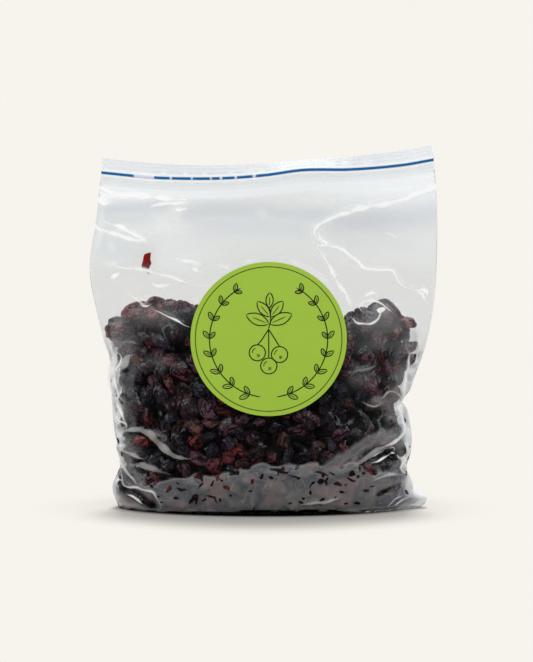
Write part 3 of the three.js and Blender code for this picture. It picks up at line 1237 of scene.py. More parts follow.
@dataclass
class FruitHeap:
    """The dried cranberries: an outer layer in several kinds, the fruit just inside it, and a core."""

    form: BagForm
    shape: FruitShape = FruitShape()
    outer_depth: float = 7.5
    inner_depth: float = 15.5
    outer_cuts: int = 8
    inner_cuts: int = 4
    core_inset: float = 10.5
    squash: float = 0.45
    calm_inset: float = 0.5
    kinds: dict[Kind, tuple[float, FruitFinish]] = field(default_factory=lambda: {
        kind: (share, FruitFinish(
            f"fruit_{kind.value}", linear(*dark), linear(*light), linear(*ridge_and_sheen), ridge_and_sheen_share,
        ))
        for kind, share, dark, light, ridge_and_sheen, ridge_and_sheen_share in (
            (Kind.BLACK, 0.24, (2, 1, 4), (54, 40, 54), (124, 110, 126), 0.38),
            (Kind.SLATE, 0.19, (1, 1, 4), (44, 40, 54), (120, 116, 136), 0.42),
            (Kind.PLUM, 0.27, (4, 2, 5), (94, 54, 68), (154, 122, 134), 0.38),
            (Kind.WINE, 0.19, (7, 2, 5), (112, 44, 52), (150, 96, 100), 0.35),
            (Kind.RUBY, 0.02, (18, 2, 4), (146, 44, 42), (170, 90, 82), 0.3),
            (Kind.RUSSET, 0.07, (10, 5, 5), (108, 64, 58), (158, 120, 112), 0.35),
            (Kind.ROSE, 0.02, (40, 20, 25), (160, 104, 100), (190, 150, 144), 0.3),
        )
    })
    deep: FruitFinish = FruitFinish(
        "fruit_deep", linear(1, 0, 2), linear(24, 15, 20), linear(60, 50, 60), 0.2
    )
    # Kinds and tones set at listed spots; the rose ones near the heap's top show partly painted light, as of
    # fruit lit through from behind.
    accents: tuple[tuple[Kind, float, Path], ...] = (
        (Kind.ROSE, 0.75, (
            (-76, 114), (-80, 117), (-59, 122), (-66, 121), (84, 108), (72, 103), (3.6, 43), (-87, 104),
        )),
        (Kind.PLUM, 0.85, ((62, 114), (70, 116), (64, 104), (78, 96), (56, 98), (83, 88), (68, 93))),
        (Kind.RUBY, 0.45, ((-38, 45), (-14.5, 37), (-70, 38), (-62, 56))),
        (Kind.RUBY, 0.1, ((-70, 58), (-72, 107.5), (-57, 75), (-21, 57.5))),
        (Kind.RUSSET, 0.45, (
            (-75, 97), (-74, 88), (-79, 84), (-37.5, 56), (-26.5, 55), (-50, 46), (75, 80), (70, 72),
            (63, 60), (70, 63),
        )),
        (Kind.RUSSET, 0.1, ((-46.5, 69), (8, 46), (34, 38), (79, 76), (66, 52), (60, 58), (50, 68))),
        (Kind.WINE, 0.45, (
            (-65, 98), (-30, 33), (3, 31), (-17, 32), (47, 38), (-52, 87), (-44, 82), (60, 84),
            (66, 89.5),
        )),
    )
    # Large pieces; the pale rose ones at the heap's top show partly painted light, as of fruit lit through
    # from behind.
    large: tuple[tuple[Kind, float, float, Span], ...] = (
        (Kind.ROSE, 1, 6.2, (-75.5, 115.8)), (Kind.ROSE, 0.9, 5.8, (-62, 118)),
        (Kind.PLUM, 0.95, 6.4, (-46, 116)), (Kind.ROSE, 0.6, 6, (-84, 103)),
        (Kind.PLUM, 0.95, 6.2, (70, 114.5)), (Kind.PLUM, 0.9, 5.8, (55, 112)),
    )
    large_depth: float = 0.7
    depth_weight: float = 0.25
    tone_power: float = 1.4
    tone_spread: float = 0.1
    faces_front: float = -0.3
    faces_up: float = 0.7
    outer_spread: float = 0.6
    inner_spread: float = 1
    lowest: float = 0.4
    core_width: float = 0.84
    core_least: float = 1.5
    core_cuts: int = 22
    core_ripple: Span = (0.8, 11)
    core_seed: int = 3
    seed: int = 23
    calm: Callable[[Array, Array], Array] = field(default=lambda x, z: np.ones_like(x))
    surfaces: list[tuple[Array, Array]] = field(default_factory=list)

    def build(self) -> None:
        """Packs, shapes and dresses all the fruit."""
        places, radii, inside, outward = FruitPacking(self.form).settle()
        rng = np.random.default_rng(self.seed)
        outer = inside < self.outer_depth
        inner = ~outer & (inside < self.inner_depth)
        LOG.info("fruit: %d outside, %d inside", outer.sum(), inner.sum())
        shares = [share for share, _ in self.kinds.values()]
        kinds = rng.choice(len(Kind), size=len(places), p=shares)
        tones = rng.uniform(0, 1, len(places)) ** self.tone_power
        seen = (outward[:, 1] < self.faces_front) | (outward[:, 2] > self.faces_up)
        in_front = np.nonzero(outer & seen)[0]
        for kind, tone, spots in self.accents:
            for spot in spots:
                away = np.linalg.norm(places[in_front][:, [0, 2]] - spot, axis=1)
                away += self.depth_weight * places[in_front][:, 1]
                nearest = in_front[np.argmin(away)]
                kinds[nearest] = list(Kind).index(kind)
                tones[nearest] = tone + rng.uniform(-self.tone_spread, self.tone_spread)
        for kind, tone, radius, spot in self.large:
            nearest = in_front[np.argmin(np.linalg.norm(places[in_front][:, [0, 2]] - spot, axis=1))]
            film = self.form.plane_at(np.array(spot[:1]), np.array(spot[1:]), Face.FRONT)[0]
            places[nearest] = spot[0], film + self.large_depth * radius, spot[1]
            outward[nearest] = 0, -1, 0
            kinds[nearest], tones[nearest], radii[nearest] = list(Kind).index(kind), tone, radius
        layers = [
            (f"fruit_{kind.value}", outer & (kinds == index), self.outer_cuts, self.outer_spread, finish)
            for index, (kind, (_, finish)) in enumerate(self.kinds.items())
        ]
        layers.append(("fruit_inner", inner, self.inner_cuts, self.inner_spread, self.deep))
        for name, chosen, cuts, spread, finish in layers:
            piece = self.fruit_piece(
                name, places[chosen], radii[chosen], outward[chosen], tones[chosen], cuts, spread, rng
            )
            finish_piece(piece, finish.material())
        finish_piece(self.core(), CORE_FINISH.material())

    def fruit_piece(
        self, name: str, places: Array, radii: Array, outward: Array, tones: Array,
        cuts: int, spread: float, rng: np.random.Generator,
    ) -> bpy.types.Object:
        """Shapes the fruits of one kind and joins them.

        Args:
            name: The piece's name.
            places: The fruits' centres, in millimetres.
            radii: Their radii.
            outward: The directions that their thin ways lie along.
            tones: How light each is, from 0 to 1.
            cuts: How finely each is divided.
            spread: How unevenly they are turned.
            rng: The source of their differences.

        Returns:
            The new piece.
        """
        ball, faces = self.shape.ball(cuts)
        fruits, crest = self.shape.wrinkled(ball, len(places), rng)
        fruits = self.shape.turned(fruits, outward, spread, rng)
        shapes = self.pressed(fruits * radii[:, None, None] + places[:, None, :]) * MM
        tone = np.repeat(tones, len(ball))
        self.surfaces.append((shapes, faces))
        return joined_piece(name, shapes, faces, {"tone": tone, "crest": crest})

    def pressed(self, shapes: Array) -> Array:
        """Presses shapes flatter where they stand out of the smooth film, and off the floor.

        Args:
            shapes: The corners of each shape, in millimetres.

        Returns:
            The pressed corners.
        """
        pressed = shapes.copy()
        x, y, z = np.moveaxis(shapes, -1, 0)
        calm = 1 - self.calm(x, z)
        for face in Face:
            plane = self.form.plane_at(x, z, face)
            kept = self.squash * (1 - calm) if face is Face.FRONT else self.squash
            inset = self.calm_inset * calm if face is Face.FRONT else 0.0
            out = (y - plane) * face.value + inset
            over = np.maximum(out, 0)
            y = y - face.value * over * (1 - kept)
        pressed[..., 1] = y
        pressed[..., 2] = np.maximum(z, self.lowest)
        return pressed

    def core(self) -> bpy.types.Object:
        """The dark middle that the fruit lies on: the bag's form, drawn in all round.

        Returns:
            The new piece.
        """
        box = divided_cube(self.core_cuts)
        points = corner_places(box)
        across = self.core_width * points[:, 0]
        top = self.form.heap_level.at(across) - self.core_inset
        level = self.core_inset + (points[:, 2] + 1) / 2 * (top - self.core_inset)
        edges = []
        for face in Face:
            half = self.form.half_depth(across, level, face)
            depth = np.maximum(self.core_least, half - self.core_inset)
            edges.append(self.form.weld_plane(across, level) + face.value * depth)
        y = edges[0] + (points[:, 1] + 1) / 2 * (edges[1] - edges[0])
        placed = np.stack([self.form.sideways(across, level), y, level], 1)
        height, wavelength = self.core_ripple
        uneven = ripples(placed, np.random.default_rng(self.core_seed), wavelength)
        placed += height * uneven[:, None] * (0, 1, 1)
        move_corners(box, placed * MM)
        bmesh.ops.recalc_face_normals(box, faces=box.faces[:])
        return mesh_from_bmesh("fruit_core", box)

    def ray_tree(self) -> BVHTree:
        """A tree of all the fruit's faces for casting rays at, in millimetres.

        Returns:
            The tree.
        """
        corners, faces, start = [], [], 0
        for shapes, own_faces in self.surfaces:
            count, per_shape = shapes.shape[:2]
            offsets = start + np.arange(count)[:, None, None] * per_shape
            corners.append(shapes.reshape(-1, 3) / MM)
            faces.append((own_faces[None] + offsets).reshape(-1, own_faces.shape[1]))
            start += count * per_shape
        return BVHTree.FromPolygons(
            np.concatenate(corners).tolist(), np.concatenate(faces).tolist(), epsilon=0.0
        )


@dataclass(frozen=True)
class ClosureForm:
    """The pressed-shut mouth: ribbed tracks, a coloured bead and a lip, above the film."""

    half: float = 0.55
    bead_half: float = 0.25
    bead_width: float = 1.0
    ribs: tuple[tuple[float, float, float], ...] = (
        (1.3, 0.3, 0.45), (3.5, 0.35, 0.45), (5.3, 0.35, 0.4), (8.1, 0.35, 0.4),
        (9.6, 0.14, 0.35), (10.8, 0.14, 0.35), (12.0, 0.14, 0.35), (13.2, 0.14, 0.35),
    )

    def half_thickness(self, above: Array, line: float) -> Array:
        """Half the closure's thickness at heights above its foot.

        Args:
            above: Heights above the closure's foot, in millimetres.
            line: The height of the coloured bead above the closure's foot.

        Returns:
            Half the thickness at each height, in millimetres.
        """
        half = np.full(np.shape(above), self.half)
        for place, height, width in self.ribs:
            half = half + height * ridge(above - place, width)
        return half + (self.bead_half - half) * ridge(above - line, self.bead_width)


@dataclass(frozen=True)
class FilmFolds:
    """The folds that stand up from each face of the film, and the crumples between them."""

    seed: int = 41
    crumples: int = 46
    crumple_x: Span = (-84, 86)
    crumple_z: Span = (6, 112)
    crumple_lengths: Span = (7, 20)
    crumple_bend: float = 0.5
    crumple_heights: Span = (0.3, 0.8)
    ridge_width: float = 1.25
    end_height: float = 0.35
    ridge_fade: float = 0.12
    span_width: float = 1.5
    span_fade: float = 0.15
    front: tuple[Crease, ...] = (
        Crease(1.8, 1.7, 2, 0.85, (
            (98.5, 188), (90, 185), (75.5, 179.3), (59.5, 175.8), (48, 172.4), (35.3, 167.2), (30.1, 163.7),
            (29, 160.3), (30.7, 154.6), (30.7, 151.7),
        ), (1, 0.3)),
        Crease(1.5, 1.5, 1.5, 0.85, (
            (30.7, 151.7), (35.3, 146.5), (41, 135.6), (46.8, 125.8), (50, 117.7),
        ), (0.1, 0.5)),
        Crease(1.3, 1.4, 1.3, 0.8, (
            (30.7, 159), (35.9, 154.5), (45, 151.6), (52.6, 145.9), (59.5, 140.7), (72.7, 140.1),
            (76.7, 132.7), (82.5, 129.8), (88, 127.5),
        )),
        Crease(0.9, 1.3, 1.3, 0.8, ((88, 128.5), (92.5, 128), (93.4, 124.5))),
        Crease(0.5, 1.2, 0.9, 0.6, ((86, 129.5), (90, 126.5), (93.6, 129))),
        Crease(0.7, 1.2, 1.3, 0.7, ((88.5, 127.5), (91, 124.5), (92.3, 121.5))),
        Crease(0.5, 1.2, 0.8, 0.3, ((68, 162), (74, 160), (79, 157.4))),
        Crease(0.6, 1.3, 1.3, 0.4, ((88, 191), (97, 193))),
        Crease(1, 1.6, 2.6, 1, (
            (-94.5, 187), (-88, 184.2), (-81, 182.6), (-62, 181.6), (-44, 179.8),
        ), (0.8, 0.4)),
        Crease(0.8, 1.5, 1, 0.7, ((-94.5, 184), (-88, 181.6), (-78, 181), (-66, 182.6)), (0.8, 0.1)),
        Crease(0.5, 1.3, 0.8, 0.6, ((-86, 183.5), (-76, 184), (-66, 183.2), (-58, 183.4))),
        Crease(0.8, 1.6, 3.6, 0.9, ((-94, 180.4), (-91, 178.4), (-87, 178.2)), (0.6, 0.1)),
        Crease(0.6, 1.3, 1.6, 0.9, ((-65, 175.4), (-59, 177.6), (-50, 178.6), (-42.5, 178.3)), (0.1, 0.5)),
        Crease(0.5, 1.3, 1.8, 0.7, ((-51, 174.6), (-46, 174.8), (-42.5, 176.4))),
        Crease(1.2, 1.2, 1.6, 1, ((-91, 167), (-79, 163.3), (-71, 159.6), (-66.5, 157.4)), (0.3, 0.7)),
        Crease(1, 1.2, 1.9, 1, (
            (-96.4, 165.7), (-93, 162.6), (-83, 160.2), (-74, 157.6), (-66.5, 157.2),
        ), (0.3, 0.7)),
        Crease(0.8, 1.1, 1.9, 0.9, ((31.3, 161), (33, 157.5), (35.6, 155), (31, 153.6)), (0.5, 0.5)),
        Crease(1, 1.3, 1.4, 0.6, (
            (-90.6, 141.9), (-70, 140.8), (-55.5, 137.2), (-39.4, 132.7), (-32.5, 131.5),
        )),
        Crease(0.7, 1.2, 2.8, 0.75, ((-87, 135), (-84, 136.8), (-81.6, 138.6))),
        Crease(0.5, 1.1, 1.2, 0.65, ((-64.2, 133.3), (-60.5, 131.6), (-56.7, 131.2), (-51.5, 133.3))),
        Crease(0.6, 1.2, 1.5, 0.6, ((-49.8, 146.5), (-42, 145.5), (-34, 143))),
        Crease(0.5, 1.2, 1.6, 0.4, ((-41, 142), (-36, 139.6))),
        Crease(0.6, 1.2, 1.8, 0.45, ((-26.8, 144), (-22, 142.6), (-18.7, 140.2))),
        Crease(0.9, 1.1, 0.7, 0.4, ((-79, 127.5), (-74, 124.8), (-68.7, 121.2), (-64, 118))),
        Crease(1.2, 1.2, 0.9, 0.9, ((-62, 117.8), (-54, 114.2), (-45.2, 109.7), (-41, 108))),
        Crease(0.9, 1, 0.8, 0.7, ((-70.7, 121), (-66.5, 119.6), (-63, 120.4))),
        Crease(1, 1, 0.8, 0.7, (
            (56.5, 116), (54, 119), (57.5, 122.4), (63.5, 122.6), (69.3, 118.6), (73, 115.6),
        )),
        Crease(1, 1, 1.1, 0.85, (
            (49.5, 114), (53, 110.7), (59.5, 109.6), (64.4, 112.2), (66.8, 117), (71, 119.5),
        )),
        Crease(0.8, 1, 2.6, 1, ((64.6, 116.6), (66.6, 117.6), (68.4, 118.2)), (0.7, 0.5)),
        Crease(0.7, 1, 1.1, 0.7, ((57, 125), (61.5, 127.6), (65, 125.6))),
        Crease(2.6, 2.4, 4.6, 0.24, (
            (-81.5, 40.5), (-77.4, 46.5), (-71.5, 49), (-66, 47.8), (-60.7, 44), (-55, 38.6), (-48.7, 35),
            (-41, 33.6),
        )),
        Crease(2.2, 2.2, 4.2, 0.2, ((-77.7, 26.9), (-70.7, 28.6), (-64, 27.6), (-53, 23.7))),
        Crease(1.2, 1.2, 1.6, 0.3, ((-82.6, 38), (-75, 34), (-68, 31.6))),
        Crease(1.2, 1.3, 1.2, 0.5, (
            (-82, 23.5), (-81.3, 15.5), (-75, 14.3), (-70.3, 13.6), (-64, 12.4), (-61, 9), (-58.6, 5.2),
            (-60.3, 1.6),
        )),
        Crease(0.8, 1.4, 2.2, 0.4, ((-84, 38.5), (-81.5, 27), (-74.5, 15.5))),
        Crease(0.6, 1.1, 1.2, 0.7, ((-86, 67), (-82.5, 58.5), (-77.5, 50))),
        Crease(0.5, 1, 1, 0.6, ((-86.2, 60), (-84, 52), (-79.5, 53.5))),
        Crease(0.6, 1.1, 1.2, 0.6, ((84.5, 47), (82, 31), (79, 24), (84.5, 19.5))),
        Crease(0.5, 1, 0.9, 0.7, ((-84, 58), (-83.5, 53.6), (-79.5, 51.2), (-77.3, 47.8))),
        Crease(0.4, 1, 0.9, 0.9, ((-81, 10), (-75, 7), (-69, 3.4))),
        Crease(1.6, 1.6, 1.6, 0.6, (
            (66, 38), (73.5, 41.5), (79, 44), (80.5, 49), (78, 56), (76.5, 61), (80, 66),
        )),
        Crease(1.6, 1.8, 2.6, 0.2, ((48, 27), (58, 33), (68, 38.5), (78, 42.5))),
        Crease(1.2, 1.5, 1.4, 0.3, ((60, 19), (70, 22), (80, 21.5))),
        Crease(1, 1.3, 1.3, 0.12, ((47, 79), (52, 83.5), (60, 84.5), (66, 88.5))),
        Crease(1, 1.3, 1, 0.28, ((66, 66), (72, 70.5), (76.5, 69), (79.5, 66))),
        Crease(0.8, 1.1, 0.8, 1, ((61, 29.6), (65.5, 30.6), (70, 33), (73, 35.6))),
        Crease(0.6, 1, 0.5, 0.8, ((62, 32.8), (65.5, 34.6), (69.2, 37.5))),
        Crease(0.4, 1, 0.4, 0.5, ((70, 37.8), (73.2, 38.8), (74.6, 37.4), (73.2, 35.4))),
        Crease(1, 1.8, 3.4, 0.26, ((-73, 92), (-76.5, 90), (-79, 85), (-80.8, 80.5))),
        Crease(1.3, 1.3, 1.2, 0.55, (
            (81, 97), (82, 90), (83.5, 84), (81.5, 76), (79.5, 69), (78, 62), (80.5, 56),
        )),
        Crease(0.7, 1.1, 1, 0.5, ((79, 30), (82, 25), (86, 19), (88.5, 12))),
        Crease(0.5, 1, 0.7, 0.6, ((70, 2.6), (75, 6.5), (82, 9.5))),
        Crease(0.5, 1, 0.7, 0.5, ((74, 2.2), (80, 6), (86, 8.5))),
        Crease(0.7, 1.2, 1.4, 0.35, ((20, 5.5), (34, 7), (46, 10.5))),
        Crease(0.9, 1.2, 0.9, 0.2, ((55, 66), (62, 63.5), (69.5, 65.8))),
        Crease(1.5, 2, 4.6, 0.55, ((-87.5, 97), (-84.5, 92), (-84, 87), (-86.8, 79), (-86, 71), (-83, 65))),
        Crease(0.9, 1.1, 1.1, 0.9, (
            (-84, 93.5), (-80.5, 90.8), (-81, 86), (-84.6, 78.5), (-82.5, 68), (-79, 64),
        )),
        Crease(0.8, 1.2, 1, 0.14, ((-84, 94), (-77, 98.5), (-70, 97.8))),
    )
    back: tuple[Crease, ...] = (
        Crease(1.2, 4, 0, 0, ((-97, 176), (-52, 165), (-20, 146), (-26, 120))),
        Crease(1, 4, 0, 0, ((97, 150), (58, 147), (24, 160))),
        Crease(2.4, 2.2, 3, 0.25, ((82, 44), (66, 47), (50, 38), (38, 35))),
        Crease(2, 2, 2.6, 0.22, ((-80, 33), (-62, 27), (-44, 30))),
        Crease(1.3, 1.4, 1.2, 0.7, ((-70, 118), (-52, 112), (-38, 104))),
    )

    def by_face(self) -> dict[Face, tuple[Crease, ...]]:
        """The folds that each face shows."""
        return {Face.FRONT: self.front, Face.BACK: self.back}

    def spanned(self, x: Array, z: Array, face: Face) -> Array:
        """Where the folds span the fruit below them in one smooth line, from 0 to 1.

        Args:
            x: The points' x, in millimetres.
            z: The points' z, in millimetres.
            face: The face of the bag.

        Returns:
            How fully each point is spanned.
        """
        most = np.zeros_like(x)
        for crease in self.by_face()[face]:
            away, along = path_place(x, z, crease.path)
            near = plateau(away, self.span_width * crease.width)
            most = np.maximum(most, near * away_from_ends(along, self.span_fade))
        return most

    def relief(self, x: Array, z: Array, face: Face) -> Array:
        """How far the folds and crumples lift one face.

        Args:
            x: The points' x, in millimetres.
            z: The points' z, in millimetres.
            face: The face of the bag.

        Returns:
            The lift at each point, in millimetres.
        """
        rng = np.random.default_rng(self.seed + face.value)
        crumples = [self.crumple(rng) for _ in range(self.crumples)]
        most = np.zeros_like(x)
        for crease in (*self.by_face()[face], *crumples):
            away, along = path_place(x, z, crease.path)
            crest = ridge(away, self.ridge_width * crease.width)
            ends = away_from_ends(along, self.ridge_fade)
            full = self.end_height + (1 - self.end_height) * ends
            most = np.maximum(most, crease.height * crest * full)
        return most

    def crumple(self, rng: np.random.Generator) -> Crease:
        """A small crease with one bend at a random place.

        Args:
            rng: The source of the randomness.

        Returns:
            The crease, which shows no pale line.
        """
        start = np.array([rng.uniform(*self.crumple_x), rng.uniform(*self.crumple_z)])
        angle, length = rng.uniform(0, math.pi), rng.uniform(*self.crumple_lengths)
        bend = start + 0.5 * length * np.array([math.cos(angle), math.sin(angle)])
        angle += rng.uniform(-self.crumple_bend, self.crumple_bend)
        end = bend + 0.5 * length * np.array([math.cos(angle), math.sin(angle)])
        height = rng.uniform(*self.crumple_heights)
        return Crease(height, 1, 0, 0, (tuple(start), tuple(bend), tuple(end)))


@dataclass(frozen=True)
class FilmPoints:
    """Points of one face of the film, with what the film's looks follow there.

    Gap is how far the film stands off the fruit. The last five are uneven fields of their own.
    """

    x: Array
    z: Array
    across: Array
    level: Array
    gap: Array
    clouds: Array
    broad: Array
    murk: Array
    patches: Array
    pleats: Array

    @property
    def edge(self) -> Array:
        """How far out to either side the points lie, from 0 to 1."""
        return np.abs(self.across)

    def near(self, path: Path) -> Array:
        """How far the points lie from a path."""
        return path_place(self.x, self.z, path)[0]


@dataclass(frozen=True)
class EdgeHaze:
    """An upright strip of patchy haze beside each side weld.

    Limits are where it starts, is full, begins to fade and ends. Patches are its mean strength,
    how much that varies, and its highest value.
    """

    limits: tuple[float, float, float, float]
    patches: tuple[float, float, float]
    haze: float
    greying: float

    def amount(self, edge: Array, uneven: Array) -> Array:
        """How much of the strip there is at each point."""
        mean, spread, most = self.patches
        return between(edge, *self.limits) * np.clip(mean + spread * uneven, 0, most)


@dataclass(frozen=True)
class FilmLook:
    """How the film looks from point to point, in the values that its finish takes, painted sheens,
    highlights, shade and shadow among them.
    """

    form: BagForm
    seed: int = 48
    waves: tuple[tuple[Span, float], ...] = (
        ((1, 1), 16), ((0.6, 1), 34), ((1, 1), 10), ((1, 0.6), 14), ((1.5, 1), 8),
    )
    murk_range: Span = (-1, 0.4)
    free_above: Span = (-6, 8)
    band_top: Stations = Stations((
        (-84, 15), (-62, 18), (-44, 21), (-24, 22), (-10, 27), (38, 28.5), (52, 27), (62, 23), (84, 20),
    ))
    band_clouds: float = 1.2
    band_lift: float = 4
    band_gap: Span = (0.1, 1.2)
    band_middle: float = 0.6
    band_edge: float = 1.4
    band_foot: Span = (1.4, 3.4)
    band_haze: Span = (0.8, 0.07)
    band_murk: float = 0.1
    # Painted reflection on the film just below the heap's top, and painted sheen on its right side.
    heap_top: Span = (-26, 2)
    heap_top_sheen: float = 0.02
    right: Span = (0.35, 0.7)
    right_sheen: float = 0.005
    loose_gap: Span = (0.3, 1.8)
    loose_clouds: float = 0.6
    loose_limits: Span = (0.1, 2)
    wedge_from: Span = (0.86, 0.95)
    wedge_haze: float = 0.1
    wedge_clouds: float = 0.8
    wedge_shade: float = 0.5
    edge_gap: Span = (0.1, 1.3)
    edge_touching: float = 0.3
    side: EdgeHaze = EdgeHaze((0.8, 0.9, 0.92, 0.98), (0.6, 0.9, 1.3), 0.16, 0.55)
    folded: EdgeHaze = EdgeHaze((0.88, 0.93, 0.985, 1), (0.4, 0.7, 1.2), 0.32, 0.8)
    # The top of the painted contact shadow along the film's foot, by x.
    shadow_top: Stations = Stations((
        (-84, -1), (-74, 1.1), (-50, 1.7), (-10, 2.6), (18, 3.4), (34, 2.6), (52, 1.4), (62, -1),
    ))
    # Painted highlight spots on the lip: x, height above the closure's foot, reach.
    highlight_spots: tuple[tuple[float, float, float], ...] = (
        (-56.7, 9.3, 1.0), (-44.6, 9.3, 0.8), (-33.7, 9.4, 0.9), (-19.3, 9.6, 0.9), (-8.5, 9.2, 1.3),
        (-1.0, 9.2, 1.2), (11.2, 10.4, 1.4), (38.5, 10.6, 2.0), (46.5, 10.0, 1.8), (58.5, 9.6, 1.9),
    )
    # Bands of painted shade on the film above the fruit: width, strength and path.
    shades: tuple[tuple[float, float, Path], ...] = (
        (5.6, 1.0, ((-42, 172.5), (-30, 174.3), (0, 173), (28, 171), (38, 169))),
        (8.0, 0.6, ((-38, 166), (-10, 165), (20, 164))),
        (4.2, 1.0, ((-91, 174), (-77, 174.8), (-57, 177))),
        (6.0, 0.6, ((-92, 169), (-68, 170))),
        (9.0, 0.6, ((-94, 156), (-78, 152))),
        (8.0, 0.3, ((40, 157), (60, 156), (82, 155))),
        (8.5, 1.0, ((42, 167), (57, 168), (73, 169), (95, 172))),
    )
    # Painted sheen on the film above the fruit: x, z, two half widths and a strength; the negative ones take
    # haze away.
    sheens: Spots = (
        (66, 185, 46, 9, 0.3), (-74, 184, 26, 4.6, 0.45), (-91, 179.5, 5, 3, 0.3),
        (-58, 164, 14, 5, 0.14), (0, 188, 130, 3.2, 0.28), (-44, 144, 16, 8, 0.12),
        (55, 166, 24, 13, -0.13), (-10, 172, 40, 8, -0.05), (-30, 133, 12, 8, 0.12),
    )
    fog_wander: float = 0.45
    fog_edge: float = 2.6
    fogs: tuple[tuple[float, float, float, Path], ...] = (
        (3.6, 0.6, 0.08, ((38, 29), (50, 36), (62, 42.5), (74, 46))),
        (2.2, 0.5, 0.3, ((-81.5, 34), (-78, 26), (-70, 17))),
        (2.6, 0.28, 0.2, ((-79, 62), (-76, 54))),
        (2.6, 0.6, 0.65, ((-87, 9), (-84, 4.5), (-77, 1.5), (-68, 0.8))),
        (4.5, 0.5, 0.85, ((84, 16), (88, 8), (95, 3))),
        (2.6, 0.26, 0.2, ((-74, 84), (-77, 76), (-76, 68))),
        (2.3, 0.4, 0.12, ((64, 66.5), (70, 64.5), (77, 62))),
    )
    # Painted sheen over the fruit, as soft spots: x, z, two half widths and a strength.
    glows: Spots = (
        (68, 118, 6, 3.2, 0.25), (-66, 116, 17, 7, 0.1), (-82, 104, 7, 8, 0.08), (67, 111, 16, 9, 0.18),
        (66, 97, 14, 3, 0.08), (56, 80, 7, 6, 0.08), (69, 64, 6, 2.6, 0.2), (-65, 115, 18, 8, 0.05),
        (-78, 96, 5, 8, 0.08), (-60, 88, 8, 3, 0.08), (78, 86, 4, 9, 0.05),
    )
    windows: tuple[tuple[float, Path], ...] = (
        (3.4, ((-82, 13), (-73, 9), (-64, 4))),
        (2.4, ((-66, 25), (-60, 21))),
        (1.5, ((66, 11), (72, 13), (79, 14.5))),
        (4.4, ((60, 28.5), (70, 30.5), (79, 32))),
        (6.5, ((-67, 149), (-66.5, 141))),
    )
    fog_murk: float = 0.15
    fog_clearing: float = 0.9
    upper_haze: float = 0.02
    upper_rise: Span = (134, 152)
    upper_more: float = 0.13
    upper_wander: float = 3
    upper_broad: float = 0.01
    upper_most: float = 0.8
    # Painted reflection in a pale band just below the closure's foot.
    foot_below: Span = (6.5, 4)
    foot_sheen: float = 0.45
    top_shade: float = 0.15
    top_shade_from: Span = (138, 150)
    shade_broad: float = 0.1
    closed_from: Span = (-0.5, 0.3)
    closed_shade: float = 0.4
    track_haze: float = 0.3
    track_right: Span = (-0.6, 0.3)
    track_right_haze: float = 0.06
    # A painted highlight along the bead (width, strength), and a painted shade line below it (distance,
    # width, depth).
    line_highlight: Span = (2, 0.5)
    groove_shade: tuple[float, float, float] = (3.4, 0.5, 0.14)
    ribs_from: Span = (7.6, 8.4)
    rib_spacing: float = 1.3
    rib_haze: float = 0.05
    highlight_haze: float = 0.5
    highlight_stretch: float = 1.5
    weld_from: Span = (0.982, 0.996)
    weld_haze: float = 0.2
    grip_gap: Span = (0.8, 3)
    shadow_clouds: float = 0.3
    shadow_edge: float = 0.5

    def values(self, x: Array, z: Array, across: Array, level: Array, gap: Array) -> Array:
        """How the film looks at points of one face.

        Args:
            x: The points' x, in millimetres.
            z: The points' z, in millimetres.
            across: The points' across.
            level: The points' level.
            gap: How far the film stands off the fruit.

        Returns:
            The film's values at each point, along the last axis, from 0 to 1.
        """
        rng = np.random.default_rng(self.seed)
        spots = np.stack([x, z], axis=-1)
        fields = [ripples(spots * stretch, rng, wavelength) for stretch, wavelength in self.waves]
        fields[2] = smoothstep(fields[2], *self.murk_range)
        at = FilmPoints(x, z, across, level, gap, *fields)
        free = smoothstep(level - self.form.heap_level.at(across), *self.free_above)
        clear = np.zeros_like(x)
        for width, path in self.windows:
            clear = np.maximum(clear, plateau(at.near(path), width))
        band = self.base_band(at)
        wedge = smoothstep(at.edge, *self.wedge_from) * (1 - band)
        haze, milk = self.over_fruit(at, band, wedge, free, clear)
        haze, milk = self.fogged(at, haze, milk, clear)
        foot = smoothstep(level, *(self.form.film_top - below for below in self.foot_below))
        haze += (self.over_air(at, foot, clear) - haze) * free
        milk += (1 - milk) * free
        # Painted shade in bands above the fruit, and a darker tint beside each weld.
        shade = np.maximum(self.shading(at) * (1 - foot), self.wedge_shade * wedge * (1 - free))
        closed = level - self.form.film_top
        in_closure = smoothstep(closed, *self.closed_from)
        haze += (self.track_sheen(at, closed) - haze) * in_closure
        weld = smoothstep(at.edge, *self.weld_from) * (1 - in_closure)
        # Painted contact shadow along the film's foot, below a wavy line.
        shadow_top = self.shadow_top.at(x) + self.shadow_clouds * at.clouds
        painted_shadow = 1 - smoothstep(z, shadow_top - self.shadow_edge, shadow_top + self.shadow_edge)
        haze = np.maximum(np.maximum(haze, self.weld_haze * weld), painted_shadow)
        milk = np.maximum(milk, weld)
        shade = np.maximum(shade, self.closed_shade * in_closure)
        grip = 1 - smoothstep(gap, *self.grip_gap)
        return np.clip(np.stack([haze, milk, shade, grip, painted_shadow], axis=-1), 0, 1)

    def base_band(self, at: FilmPoints) -> Array:
        """The foggy band along the base, 1 inside it: partly the film's own fog and partly a painted
        reflection of the floor.

        Args:
            at: The points.

        Returns:
            The band at each point, from 0 to 1.
        """
        lift = self.band_lift * (smoothstep(at.gap, *self.band_gap) - self.band_middle)
        top = self.band_top.at(at.x) + self.band_clouds * at.clouds + lift
        below = 1 - smoothstep(at.z, top - self.band_edge, top + self.band_edge)
        return below * smoothstep(at.z, *self.band_foot)

